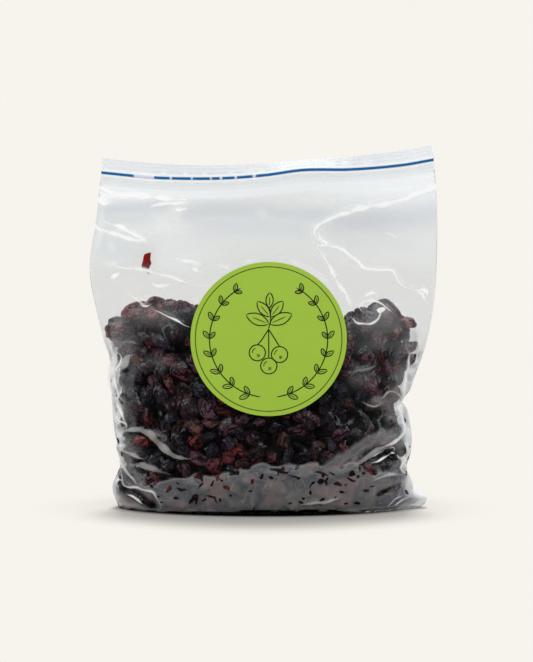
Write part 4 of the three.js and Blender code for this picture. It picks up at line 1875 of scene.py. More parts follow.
    def over_fruit(
        self, at: FilmPoints, band: Array, wedge: Array, free: Array, clear: Array
    ) -> tuple[Array, Array]:
        """The film in front of the fruit.

        Args:
            at: The points.
            band: Where the foggy band along the base is.
            wedge: Where the film's sides close in on its welds.
            free: Where there is no fruit behind the film.
            clear: Where the haze has windows.

        Returns:
            The film's haze, and how white that is.
        """
        least, more = self.band_haze
        haze = band * (least + more * smoothstep(at.gap, 0, 1))
        haze *= (1 - self.band_murk + self.band_murk * at.murk) * (1 - clear)
        above = at.level - self.form.heap_level.at(at.across)
        # Painted reflection near the heap's top, and painted sheen on the right.
        thin = self.heap_top_sheen * smoothstep(above, *self.heap_top) * (1 - free)
        thin += self.right_sheen * smoothstep(at.across, *self.right) * (1 - band)
        loose = smoothstep(at.gap, *self.loose_gap)
        haze += thin * loose * np.clip(1 + self.loose_clouds * at.clouds, *self.loose_limits)
        off = self.edge_touching + (1 - self.edge_touching) * smoothstep(at.gap, *self.edge_gap)
        patchy = np.clip(1 + self.wedge_clouds * at.clouds, 0, 2)
        haze += self.wedge_haze * wedge * off * patchy * (1 - clear)
        milk = 1 - band
        side = self.side.amount(at.edge, at.patches) * (1 - band)
        haze += self.side.haze * side * off * (1 - clear)
        milk -= self.side.greying * np.minimum(side, 1) * milk
        folded = self.folded.amount(at.edge, at.pleats) * (1 - band) * (1 - free)
        haze += self.folded.haze * folded
        milk -= self.folded.greying * np.minimum(folded, 1) * milk
        return haze, milk

    def fogged(self, at: FilmPoints, haze: Array, milk: Array, clear: Array) -> tuple[Array, Array]:
        """The film's haze and how white that is, with the single fogs and the painted sheen of the glows
        over it.

        Args:
            at: The points.
            haze: The haze so far.
            milk: How white it is so far.
            clear: Where the haze has windows, from 0 to 1.

        Returns:
            The new haze, and how white that is.
        """
        uneven = 1 - self.fog_murk + self.fog_murk * at.murk
        for width, strength, white, path in self.fogs:
            away = np.abs(at.near(path) + self.fog_wander * width * at.murk)
            fog = plateau(away, width, self.fog_edge)
            haze = np.maximum(haze, strength * fog * uneven * (1 - self.fog_clearing * clear))
            milk = milk + (white - milk) * fog
        return haze + spot_total(at.x, at.z, self.glows), milk

    def over_air(self, at: FilmPoints, foot: Array, clear: Array) -> Array:
        """The haze of the film above the fruit, with its painted sheens, up to a painted reflection at the
        foot of the closure.

        Args:
            at: The points.
            foot: Where the closure's foot is, from 0 to 1.
            clear: Where the haze has windows, from 0 to 1.

        Returns:
            The haze at each point.
        """
        rise = smoothstep(at.z + self.upper_wander * at.broad, *self.upper_rise)
        haze = self.upper_haze + self.upper_more * rise + self.upper_broad * at.broad
        haze = np.clip(haze + spot_total(at.x, at.z, self.sheens), 0, self.upper_most) * (1 - clear)
        return haze + foot * (self.foot_sheen - haze)

    def shading(self, at: FilmPoints) -> Array:
        """How dark and blue the film above the fruit is: a light tint near the top, and bands of painted
        shade.

        Args:
            at: The points.

        Returns:
            The shade at each point, from 0 to 1.
        """
        shade = self.top_shade * smoothstep(at.z, *self.top_shade_from)
        for width, strength, path in self.shades:
            shade = np.maximum(shade, strength * ridge(at.near(path), width))
        return shade * (1 - self.shade_broad + self.shade_broad * at.broad)

    def track_sheen(self, at: FilmPoints, closed: Array) -> Array:
        """The haze of the closure's tracks, with its ribs, a painted highlight along the bead and in spots,
        and a painted shade line below the bead.

        Args:
            at: The points.
            closed: Their heights above the closure's foot, in millimetres.

        Returns:
            The haze at each point.
        """
        past_line = closed - self.form.line_above_foot
        width, strength = self.line_highlight
        below, groove_width, depth = self.groove_shade
        right = smoothstep(at.across, *self.track_right)
        # Painted highlight along the bead, less a painted shade line below it.
        sheen = self.track_haze + self.track_right_haze * right + strength * ridge(past_line, width)
        sheen -= depth * ridge(past_line + below, groove_width)
        ribs = np.sin(2 * math.pi * closed / self.rib_spacing)
        sheen += self.rib_haze * ribs * smoothstep(closed, *self.ribs_from)
        # Painted highlight spots on the lip.
        pressed = np.zeros_like(at.x)
        for middle, height, reach in self.highlight_spots:
            aside = (at.x - middle) / (self.highlight_stretch * reach)
            pressed = np.maximum(pressed, ridge(np.hypot(aside, (closed - height) / reach), 1))
        return sheen + self.highlight_haze * pressed


@dataclass
class BagFilm:
    """The clear bag: front film, back film, base and closure in one closed skin."""

    form: BagForm
    heap: FruitHeap
    closure: ClosureForm = ClosureForm()
    folds: FilmFolds = FilmFolds()
    columns: int = 200
    film_rows: int = 200
    closure_rows: int = 32
    base_rows: int = 6
    cast_from: float = 3.0
    cast_length: float = 16.0
    touch_clearance: float = 0.3
    least_clearance: float = 0.22
    cover_drop: float = 0.3
    pull: float = 0.022
    relax_rounds: int = 260
    raised_rounds: int = 2
    smooth_rounds: int = 10
    deepest_sag: float = 3.4
    sag_share: float = 0.4
    air_from: Span = (0, 12)
    crinkles: tuple[tuple[float, Span, float], ...] = ((0.3, (1, 1), 42), (0.06, (1, 1.6), 11))
    waves: tuple[tuple[float, Span, float], ...] = ((0.6, (1, 0.7), 60), (0.15, (1, 1), 24))
    open_depth: Span = (2, 12)
    edge_depth: Span = (0, 4)
    fold_foot: Span = (0, 5)
    fold_top: Span = (0, 8)
    weld_share: Span = (0, 0.12)
    end_share: Span = (0, 0.004)
    closing: Span = (0, 1.2)
    lowest_point: float = 0.02
    open_gap: float = 9
    last_cell: float = 0.9999
    merged: float = 0.02
    base_corner: Span = (48, 64)
    base_milk: float = 0.7
    base_shadow: float = 0.9
    seed: int = 41
    sheets: dict[Face, dict[str, Array]] = field(default_factory=dict)

    def levels(self) -> Array:
        """The level of each row, from the floor to the mouth, which the last two rows share."""
        film = np.linspace(0, self.form.film_top, self.film_rows)
        above = np.linspace(0, self.form.closure_height, self.closure_rows)[1:]
        return np.concatenate([film, self.form.film_top + above, [self.form.film_top + above[-1]]])

    def smooth_sheet(self, across: Array, level: Array, face: Face) -> Array:
        """The places of one face's points before the fruit shapes them, in millimetres.

        Args:
            across: How far across the bag the points lie, from -1 to 1.
            level: The points' level.
            face: The face of the bag.

        Returns:
            The places, in millimetres.
        """
        in_film = np.minimum(level, self.form.film_top)
        above = level - in_film
        back, up = self.form.leaned(across, above)
        share = self.form.section_share(across, in_film)
        weld = self.form.weld_half * smoothstep(share, *self.weld_share)
        film_out = weld + self.form.half_depth(across, in_film, face)
        ends = smoothstep(1 - np.abs(across), *self.end_share)
        closed = self.closure.half_thickness(above, self.form.line_above_foot) * ends
        out = film_out + (closed - film_out) * smoothstep(above, *self.closing)
        out[-1] = 0
        y = self.form.weld_plane(across, level) + face.value * out + back
        z = self.form.height_of(across, in_film) + up
        return np.stack([self.form.sideways(across, level), y, z], axis=-1)

    def cast_at_fruit(self, places: Array, outward: Array, tree: BVHTree) -> Array:
        """How far out the fruit under each point stands, measured from the smooth film.

        Args:
            places: The points' places, in millimetres.
            outward: The film's outward direction at each point.
            tree: The tree of the fruit's faces.

        Returns:
            The distance at each point, in millimetres.
        """
        reach = np.full(places.shape[:2], -self.cast_length)
        starts = places + self.cast_from * outward
        for row, column in np.ndindex(*places.shape[:2]):
            start, direction = starts[row, column], -outward[row, column]
            distance = tree.ray_cast(Vector(start), Vector(direction), self.cast_length)[3]
            if distance is not None:
                reach[row, column] = self.cast_from - distance
        return reach

    def relaxed(self, reach: Array, held: Array, lowest: Array) -> Array:
        """Draws the film tight over the fruit.

        Args:
            reach: How far out the fruit stands under each point.
            held: Where the film stays as it is, from 0 to 1.
            lowest: How far in the film may go at each point.

        Returns:
            How far the film moves outward at each point.
        """
        floor = np.maximum(reach + self.touch_clearance, lowest)
        height = np.maximum(floor, 0) * (1 - held)
        for _ in range(self.relax_rounds):
            height = np.maximum(self.neighbours(height).mean(axis=0) - self.pull, floor) * (1 - held)
        return height

    def neighbours(self, values: Array) -> Array:
        """The values above, below, left and right of each point of a grid."""
        around = np.pad(values, 1, mode="edge")
        return np.stack([around[:-2, 1:-1], around[2:, 1:-1], around[1:-1, :-2], around[1:-1, 2:]])

    def shape_sheet(self, face: Face, tree: BVHTree, sticker: "Sticker") -> None:
        """Works out the final places of one face's points and the gap under each.

        Args:
            face: The face of the bag.
            tree: The tree of the fruit's faces.
            sticker: The sticker, which holds the film flat.
        """
        level, across = np.meshgrid(self.levels(), np.linspace(-1, 1, self.columns), indexing="ij")
        places = self.smooth_sheet(across, level, face)
        along, up = np.gradient(places, axis=1), np.gradient(places, axis=0)
        outward = unit(np.cross(along, up)) * -face.value
        film = slice(0, self.film_rows)
        reach = self.cast_at_fruit(places[film], outward[film], tree)
        flat = np.zeros_like(reach)
        if face is Face.FRONT:
            flat = 1 - sticker.clearance(places[film][..., 0], places[film][..., 2])
        height = self.lifted(places[film], across[film], level[film], reach, face)
        height = height * (1 - flat) + sticker.film_inset * flat
        places[film] += outward[film] * height[..., None]
        places[..., 2] = np.maximum(places[..., 2], self.lowest_point)
        gap = np.full(level.shape, float(self.open_gap))
        gap[film] = height - reach
        values = FilmLook(self.form).values(places[..., 0], places[..., 2], across, level, gap)
        self.sheets[face] = {"places": places, "outward": outward, "values": values}

    def lifted(self, places: Array, across: Array, level: Array, reach: Array, face: Face) -> Array:
        """Lays one face of the film over the fruit and folds it.

        Args:
            places: The points of the smooth film, in millimetres.
            across: The points' across.
            level: The points' level.
            reach: How far out the fruit stands under each point.
            face: The face of the bag.

        Returns:
            How far the film moves outward at each point.
        """
        x, z = places[..., 0], places[..., 2]
        half = self.form.half_depth(across, level, face)
        covered = np.maximum(reach, self.neighbours(reach).max(axis=0) - self.cover_drop)
        above_heap = smoothstep(level - self.form.heap_level.at(across), *self.air_from)
        lowest = -np.minimum(self.deepest_sag, self.sag_share * half) * (1 - above_heap)
        held = np.zeros_like(reach)
        held[[0, -1], :] = held[:, [0, -1]] = 1
        height = self.relaxed(covered, held, lowest)
        smooth = self.smoothed(height)
        height = height + (smooth - height) * self.folds.spanned(x, z, face)
        rng = np.random.default_rng(self.seed + face.value)
        spots = np.stack([x, level], axis=-1)
        crinkle, wide = (
            sum(amount * ripples(spots * stretch, rng, length) for amount, stretch, length in table)
            for table in (self.crinkles, self.waves)
        )
        crinkle += wide * above_heap * smoothstep(half, *self.open_depth)
        rise = (self.folds.relief(x, z, face) + crinkle) * smoothstep(half, *self.edge_depth)
        rise *= smoothstep(self.form.film_top - level, *self.fold_top)
        rise *= smoothstep(level, *self.fold_foot)
        return np.where(held > 0, height, np.maximum(height + rise, covered + self.least_clearance))

    def smoothed(self, height: Array) -> Array:
        """The film's heights drawn up to their highest neighbours, and evened out.

        Args:
            height: How far out each point stands.

        Returns:
            The smoothed distances.
        """
        for _ in range(self.raised_rounds):
            height = np.maximum(height, self.neighbours(height).max(axis=0))
        for _ in range(self.smooth_rounds):
            height = self.neighbours(height).mean(axis=0)
        return height

    def surface_point(self, x: float, z: float, face: Face, lift: float) -> Array:
        """A point on the finished film, lifted off it.

        Args:
            x: The point's x, in millimetres.
            z: Its z.
            face: The face of the bag.
            lift: How far it stands off the film.

        Returns:
            The point, in millimetres.
        """
        sheet = self.sheets[face]
        across, level = self.form.across_and_level(np.array(x), np.array(z))
        row = np.clip(level / self.form.film_top, 0, self.last_cell) * (self.film_rows - 1)
        column = np.clip((across + 1) / 2, 0, self.last_cell) * (self.columns - 1)
        low_row, low_column = int(row), int(column)
        down, along = row - low_row, column - low_column
        corners = [
            (low_row, low_column, (1 - down) * (1 - along)),
            (low_row, low_column + 1, (1 - down) * along),
            (low_row + 1, low_column, down * (1 - along)),
            (low_row + 1, low_column + 1, down * along),
        ]
        return sum(
            share * (sheet["places"][r, c] + lift * sheet["outward"][r, c]) for r, c, share in corners
        )

    def grid(self, skin: bmesh.types.BMesh, places: Array, values: Array, flip: bool) -> None:
        """Adds one grid of faces to the skin, and sets its corners' places and values.

        Args:
            skin: The skin.
            places: The points' places, in millimetres.
            values: The film's values at each point.
            flip: Whether the faces are turned over.
        """
        rows, columns = values.shape[:2]
        made = bmesh.ops.create_grid(skin, x_segments=columns - 1, y_segments=rows - 1, size=1)
        layers = [skin.verts.layers.float[name] for name in FILM_VALUES]
        for vert in made["verts"]:
            row, column = grid_step(vert, rows, columns)
            vert.co = places[row, column] * MM
            for layer, value in zip(layers, values[row, column]):
                vert[layer] = value
        if flip:
            faces = list({face for vert in made["verts"] for face in vert.link_faces})
            bmesh.ops.reverse_faces(skin, faces=faces)

    def build(self, sticker: "Sticker") -> bpy.types.Object:
        """Makes the whole skin.

        Args:
            sticker: The sticker, which holds the film flat behind it.

        Returns:
            The film's piece.
        """
        tree = self.heap.ray_tree()
        for face in Face:
            self.shape_sheet(face, tree, sticker)
        skin = bmesh.new()
        for name in FILM_VALUES:
            skin.verts.layers.float.new(name)
        for face in Face:
            sheet = self.sheets[face]
            self.grid(skin, sheet["places"], sheet["values"], face is Face.BACK)
        front, back = (self.sheets[face]["places"][0] for face in Face)
        shares = np.linspace(0, 1, self.base_rows)[:, None, None]
        base = front + (back - front) * shares
        corner = smoothstep(base[..., 0], *self.base_corner)
        # The base is all haze: white at the loose corner, and painted black elsewhere as shadow under the
        # fruit.
        dull = np.zeros((*base.shape[:2], len(FILM_VALUES)))
        dull[..., FILM_VALUES.index("haze")] = 1
        dull[..., FILM_VALUES.index("milk")] = self.base_milk * corner
        dull[..., FILM_VALUES.index("painted_shadow")] = self.base_shadow * (1 - corner)
        self.grid(skin, base, dull, True)
        bmesh.ops.remove_doubles(skin, verts=skin.verts[:], dist=self.merged * MM)
        bmesh.ops.recalc_face_normals(skin, faces=skin.faces[:])
        piece = mesh_from_bmesh("film", skin)
        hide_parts("bag", "zip_tracks", "mouth_lip")
        finish_piece(piece, FilmFinish().material())
        return piece


@dataclass
class FoldHighlights:
    """The painted highlights along the crests of the film's folds, each a pale strip that lies on the film.
    """

    film: BagFilm
    spacing: float = 0.9
    lift: float = 0.45
    shares: tuple[float, ...] = (-1.0, -0.7, 0.0, 0.7, 1.0)
    broad_shine: tuple[float, ...] = (0.0, 0.85, 1.0, 0.85, 0.0)
    sharp_shine: tuple[float, ...] = (0.0, 0.6, 1.0, 0.6, 0.0)
    sharp_shares: tuple[float, ...] = (-1.7, -0.7, 0.0, 0.7, 1.7)
    broad_from: float = 2.0
    boost: float = 1.3
    widening: float = 1.12
    wander: Span = (0.18, 9)
    unevenness: Span = (0.13, 11)
    taper_in: Span = (-0.05, 0.35)
    taper_out: Span = (0.6, 1.05)
    broad_lift: float = 0.3
    thin_dimming: float = 0.6
    patchiness: float = 0.2
    most_patchy: float = 1.3
    raised_rounds: int = 3
    even_rounds: int = 8
    closure_steps: int = 150
    closure_reach: float = 0.995
    # Painted highlight lines along the closure: height above the bead, width and shine.
    closure_lines: tuple[tuple[float, float, float], ...] = (
        (1.6, 1.5, 1.0), (-1.6, 1.5, 1.0), (-3.4, 0.8, 0.35), (4.6, 0.8, 0.25), (6.6, 0.7, 0.2),
    )
    seed: int = 91

    def build(self) -> None:
        """Lays all the strips and joins them."""
        crests = bmesh.new()
        crests.verts.layers.float.new("shine")
        rng = np.random.default_rng(self.seed)
        for face, creases in self.film.folds.by_face().items():
            for crease in creases:
                if crease.line > 0:
                    self.strip(crests, crease, face, rng)
        for above, width, shine in self.closure_lines:
            self.closure_line(crests, above, width, shine)
        piece = mesh_from_bmesh("film_crests", crests)
        finish_piece(piece, CrestHighlightFinish().material())

    def strip(self, crests: bmesh.types.BMesh, crease: Crease, face: Face, rng: np.random.Generator) -> None:
        """Adds the strip of one crease.

        Args:
            crests: Where it is added.
            crease: The crease.
            face: The face of the bag that it lies on.
            rng: The source of its unevenness.
        """
        line = smooth_line(crease.path, self.spacing)
        aside = left_of(unit(np.gradient(line, axis=0)))
        share = np.linspace(0, 1, len(line))
        uneven = ripples(line, rng, self.unevenness[1])
        line = line + aside * (self.wander[0] * ripples(line, rng, self.wander[1]))[:, None]
        start, end = crease.ends
        taper = start + (1 - start) * smoothstep(share, *self.taper_in)
        taper = taper * (end + (1 - end) * (1 - smoothstep(share, *self.taper_out)))
        half = 0.5 * self.widening * crease.line * taper * (1 + self.unevenness[0] * uneven)
        lift = self.lift + self.broad_lift * max(0, crease.line - self.broad_from)
        broad = crease.line > self.broad_from
        shares = np.array(self.shares if broad else self.sharp_shares)
        strands = self.broad_shine if broad else self.sharp_shine
        edges = line[:, None, :] + (aside * half[:, None])[:, None, :] * shares[:, None]
        places = np.array([
            [self.film.surface_point(x, z, face, lift) for x, z in row] for row in edges
        ])
        places[..., 1] = self.evened(places[..., 1] * face.value) * face.value
        for vert, strand, step in self.ribbon(crests, len(line)):
            vert.co = places[step, strand] * MM
            patch = np.clip(1 + self.patchiness * uneven[step], 0, self.most_patchy)
            dim = taper[step] ** self.thin_dimming * patch
            shine = self.boost * crease.shine * strands[strand] * dim
            vert[crests.verts.layers.float["shine"]] = float(np.clip(shine, 0, 1))

    def ribbon(self, crests: bmesh.types.BMesh, steps: int) -> list[tuple[bmesh.types.BMVert, int, int]]:
        """Adds a flat strip, and gives its corners with the strand and the step that each is at.

        Args:
            crests: Where it is added.
            steps: How many corners it has along its length.

        Returns:
            Each corner with its strand and its step.
        """
        rows = len(self.shares)
        made = bmesh.ops.create_grid(crests, x_segments=steps - 1, y_segments=rows - 1, size=1)
        return [(vert, *grid_step(vert, rows, steps)) for vert in made["verts"]]

    def evened(self, out: Array) -> Array:
        """Runs each strand of a strip over the film's bumps in one smooth line.

        Args:
            out: How far out each corner stands, by step and strand.

        Returns:
            The evened distances.
        """
        for _ in range(self.raised_rounds):
            around = np.pad(out, ((1, 1), (0, 0)), mode="edge")
            out = np.maximum(out, np.maximum(around[:-2], around[2:]))
        for _ in range(self.even_rounds):
            around = np.pad(out, ((1, 1), (0, 0)), mode="edge")
            out = (around[:-2] + out + around[2:]) / 3
        return out

    def closure_line(self, crests: bmesh.types.BMesh, above: float, width: float, shine: float) -> None:
        """Adds one pale line of painted highlight that runs along the front of the closure.

        Args:
            crests: Where it is added.
            above: Its height above the coloured bead, in millimetres.
            width: Its width.
            shine: How white it is.
        """
        form = self.film.form
        for vert, strand, _ in self.ribbon(crests, self.closure_steps + 1):
            across = np.array(self.closure_reach * vert.co.x)
            height = np.array(form.line_above_foot + above + width / 2 * self.shares[strand])
            level = form.film_top + height
            half = self.film.closure.half_thickness(height, form.line_above_foot)
            back, up = form.leaned(across, height)
            y = form.weld_plane(across, level) - half - self.lift + back
            z = form.closure_foot(across) + up
            vert.co = (form.sideways(across, level) * MM, y * MM, z * MM)
            vert[crests.verts.layers.float["shine"]] = shine * self.broad_shine[strand]


@dataclass
class ZipLine:
    """The coloured bead that shows where the mouth is pressed shut."""

    form: BagForm
    half_height: float = 0.78
    half_depth: float = 1.1
    steps: int = 180
    around: int = 12
    reach: float = 0.998

    def build(self) -> bpy.types.Object:
        """Sweeps an oval along the closure and shuts its ends.

        Returns:
            The new piece.
        """
        tube = bmesh.new()
        bmesh.ops.create_grid(tube, x_segments=self.steps, y_segments=self.around, size=1)
        points = corner_places(tube)
        across, turn = self.reach * points[:, 0], math.pi * points[:, 1]
        level = np.full_like(across, self.form.film_top + self.form.line_above_foot)
        y = self.form.weld_plane(across, level) + self.half_depth * np.sin(turn)
        z = self.form.line_height.at(across) + self.half_height * np.cos(turn)
        x = self.form.sideways(across, level)
        move_corners(tube, np.stack([x, y, z], 1) * MM)
        bmesh.ops.remove_doubles(tube, verts=tube.verts[:], dist=MERGED * MM)
        bmesh.ops.holes_fill(tube, edges=[edge for edge in tube.edges if edge.is_boundary])
        bmesh.ops.recalc_face_normals(tube, faces=tube.faces[:])
        piece = mesh_from_bmesh("blue_line", tube)
        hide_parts("zip_line")
        finish_piece(piece, LineFinish().material())
        return piece


@dataclass
class Scraps:
    """Bits of skin and crumbs of fruit that cling to the inside of the film.

    The named chips are (x, z, length, width, slope in degrees) on the front film, red ones first.
    """

    film: BagFilm
    chips: tuple[tuple[float, float, float, float, float], ...] = (
        (-20.5, 15.5, 5.2, 2.6, -18), (-6.5, 19.5, 3, 2.4, 50), (-38.5, 9.5, 7.5, 1.6, 75),
        (-41, 8, 6, 2.6, 60), (-38, 23, 4.2, 3.2, 35), (-30, 10, 6.5, 1, -20), (-27.5, 8, 4.5, 0.9, -75),
        (-7.5, 13.5, 2.4, 1, 0), (11, 25.6, 7.5, 1.3, -14), (18, 23.6, 6.5, 1.2, -16),
        (33, 25.4, 7.5, 1.3, -20), (40, 24, 4.4, 1.1, -24), (51, 24.6, 4.2, 2.8, 15),
        (57, 24.2, 2, 2.2, 70), (69, 25, 1.3, 3.4, 0), (33, 19.8, 3.6, 3.2, 60), (43, 17.8, 5, 2.8, -30),
        (28.5, 18.8, 2, 1.7, 40), (50, 20.4, 6, 1.1, -30), (59, 13.8, 3.6, 1.5, -8),
        (27, 13, 1.3, 2.6, 0), (47, 6, 3, 1.3, 20), (34, 8.6, 3.4, 1.6, 25), (-24, 20.5, 1.6, 1.2, 0),
        (-55, 14, 5, 2.2, 60), (-50, 18, 2.4, 1, -30), (84, 10, 2.4, 3.4, 20), (15, 6.5, 2.6, 1.1, 30),
        (-86.2, 75, 2.4, 1.4, -60), (-84.5, 66.5, 1.6, 1, 40), (-80.5, 68, 2, 1, 60), (-82, 63, 1.5, 1, 0),
        (-83.4, 40, 4.2, 2, -65), (-81, 33, 3, 1.2, 70), (-78, 21, 2.6, 1, 30), (88, 89.5, 3, 1.5, -60),
        (81.4, 52, 2.4, 1.9, 60), (83.2, 37, 1.4, 1, 0), (82.6, 20.5, 3.2, 2, 40), (83.5, 30, 2, 1, 70),
    )
    finish: FruitFinish = FruitFinish(
        "fruit_scrap", linear(12, 4, 6), linear(110, 34, 38), linear(120, 62, 58), 0.3
    )
    red_chips: int = 2
    red_tone: float = 0.8
    darkness: float = 4
    brightest: float = 0.6
    count: int = 90
    low_share: float = 0.66
    reach: Span = (-76, 76)
    low_heights: Span = (3, 26)
    high_heights: Span = (10, 108)
    lengths: Span = (1.2, 4)
    widths: Span = (0.7, 1.7)
    slopes: Span = (-90, 90)
    back_share: float = 0.5
    lowest: float = 0.3
    crest: Span = (0.55, 0.4)
    raggedness: float = 0.22
    ragged_pace: float = 4
    ragged_waves: int = 2
    bend: float = 0.12
    inset: float = -0.3
    half_thickness: float = 0.3
    cuts: int = 2
    seed: int = 67

    def build(self) -> bpy.types.Object:
        """Lays the named chips, then scatters the rest, most of them near the base.

        Returns:
            The new piece.
        """
        rng = np.random.default_rng(self.seed)
        ball, faces = FruitShape().ball(self.cuts)
        laid = [(Face.FRONT, *chip) for chip in self.chips]
        for _ in range(self.count):
            low = rng.uniform() < self.low_share
            x, z = rng.uniform(*self.reach), rng.uniform(*(self.low_heights if low else self.high_heights))
            length, width = rng.uniform(*self.lengths), rng.uniform(*self.widths)
            covered = self.film.heap.calm(x, z) < 1
            face = Face.BACK if rng.uniform() < self.back_share or covered else Face.FRONT
            laid.append((face, x, z, length, width, rng.uniform(*self.slopes)))
        shapes = np.stack([self.chip(ball, rng, *chip) for chip in laid])
        shapes[..., 2] = np.maximum(shapes[..., 2], self.lowest)
        tones = self.brightest * rng.uniform(0, 1, len(laid)) ** self.darkness
        tones[: self.red_chips] = self.red_tone
        tone = np.repeat(tones, len(ball))
        crest = self.crest[0] + self.crest[1] * tone
        piece = joined_piece("fruit_scraps", shapes * MM, faces, {"tone": tone, "crest": crest})
        finish_piece(piece, self.finish.material())
        return piece

    def chip(
        self, ball: Array, rng: np.random.Generator, face: Face, x: float, z: float,
        length: float, width: float, slope: float,
    ) -> Array:
        """Shapes one chip and lays it on the inside of the film.

        Args:
            ball: The corners of a round ball.
            rng: The source of its unevenness.
            face: The face of the bag.
            x: The x of its middle, in millimetres.
            z: The z of its middle.
            length: Its length.
            width: Its width.
            slope: How its length runs, in degrees from level.

        Returns:
            Its corners, in millimetres.
        """
        place = self.film.surface_point(x, z, face, 0)
        outward = unit(self.film.surface_point(x, z, face, 1) - place)
        turn = math.radians(slope)
        side = np.array([math.cos(turn), 0, math.sin(turn)])
        side = unit(side - outward * (side @ outward))
        waves = FruitShape().waves(ball, 1, self.ragged_pace, self.ragged_waves, rng)[0]
        ragged = 1 + self.raggedness * waves
        bent = ball * ragged[:, None] * (length / 2, width / 2, self.half_thickness)
        bent[:, 1] += self.bend * rng.uniform(-1, 1) * bent[:, 0] ** 2 / max(width, 1)
        frame = np.stack([side, np.cross(outward, side), outward])
        return place - self.inset * outward + bent @ frame


@dataclass
class StrayFruit:
    """The single red piece that sticks to the film high up on the left, with a bit of stalk."""

    film: BagFilm
    x: float = -66.9
    z: float = 145.4
    half_length: float = 4.7
    half_depth: float = 0.8
    inset: float = 1.0
    left_side: Stations = Stations((
        (-4.7, -2.1), (-3.7, -2.8), (-2.3, -2.7), (0.6, -1.9), (4.0, -0.9), (4.7, 1.6),
    ))
    right_side: Stations = Stations((
        (-4.7, 1.5), (-2.9, 2.1), (-1.7, 2.8), (0.6, 2.3), (3.4, 2.5), (4.7, 2.7),
    ))
    stalk: Path = ((-0.2, -4.4), (0.1, -5.6), (0.9, -6.6), (1.3, -7.6))
    stalk_spacing: float = 0.2
    stalk_radii: Span = (0.35, 0.18)
    stalk_sides: int = 8
    stalk_cuts: int = 3
    cuts: int = 9
    thinning: Span = (0.8, 0.7)
    curl: tuple[float, float, float] = (0.3, 1.3, 0.5)
    bumps: Span = (0.1, 2.2)
    cut_edge: Span = (0.5, 2.5)
    cut_between: Span = (-2.4, -0.8)
    seed: int = 5

    def build(self) -> bpy.types.Object:
        """Shapes the piece and lays it against the front film.

        Returns:
            The new piece.
        """
        rng = np.random.default_rng(self.seed)
        chip = divided_cube(self.cuts)
        tone = chip.verts.layers.float.new("tone")
        points = corner_places(chip)
        height = self.half_length * points[:, 2]
        left, right = self.left_side.at(height), self.right_side.at(height)
        aside, along = self.thinning
        thin = np.sqrt(1 - aside * points[:, 0] ** 2) * np.sqrt(1 - along * points[:, 2] ** 2)
        x = left + (right - left) * (points[:, 0] + 1) / 2
        size, pace_x, pace_z = self.curl
        y = self.half_depth * points[:, 1] * thin + size * np.sin(pace_x * x + pace_z * height)
        y = y + self.bumps[0] * ripples(np.stack([x, height], axis=1), rng, self.bumps[1])
        edge = self.cut_edge[0] * ripples(x[:, None], rng, self.cut_edge[1])
        flesh = smoothstep(height + edge, *self.cut_between)
        for vert, place, share in zip(chip.verts, np.stack([x, y, height], axis=1), flesh):
            vert.co = place
            vert[tone] = share
        low, high = self.stalk_radii
        made = bmesh.ops.create_cone(
            chip, segments=self.stalk_sides, radius1=low, radius2=high, depth=2, cap_ends=True
        )
        upright = {
            edge for vert in made["verts"] for edge in vert.link_edges
            if abs(edge.verts[0].co.z - edge.verts[1].co.z) > 1
        }
        bmesh.ops.subdivide_edges(chip, edges=list(upright), cuts=self.stalk_cuts)
        bend = smooth_line(self.stalk, self.stalk_spacing)
        for vert in chip.verts[len(points):]:
            step = round((1 - vert.co.z) / 2 * (len(bend) - 1))
            vert.co = (bend[step, 0] + vert.co.x, vert.co.y, bend[step, 1])
        base = self.film.surface_point(self.x, self.z, Face.FRONT, -self.inset)
        move_corners(chip, (base + corner_places(chip)) * MM)
        bmesh.ops.recalc_face_normals(chip, faces=chip.faces[:])
        piece = mesh_from_bmesh("stray_fruit", chip)
        finish_piece(piece, StrayFinish().material())
        return piece


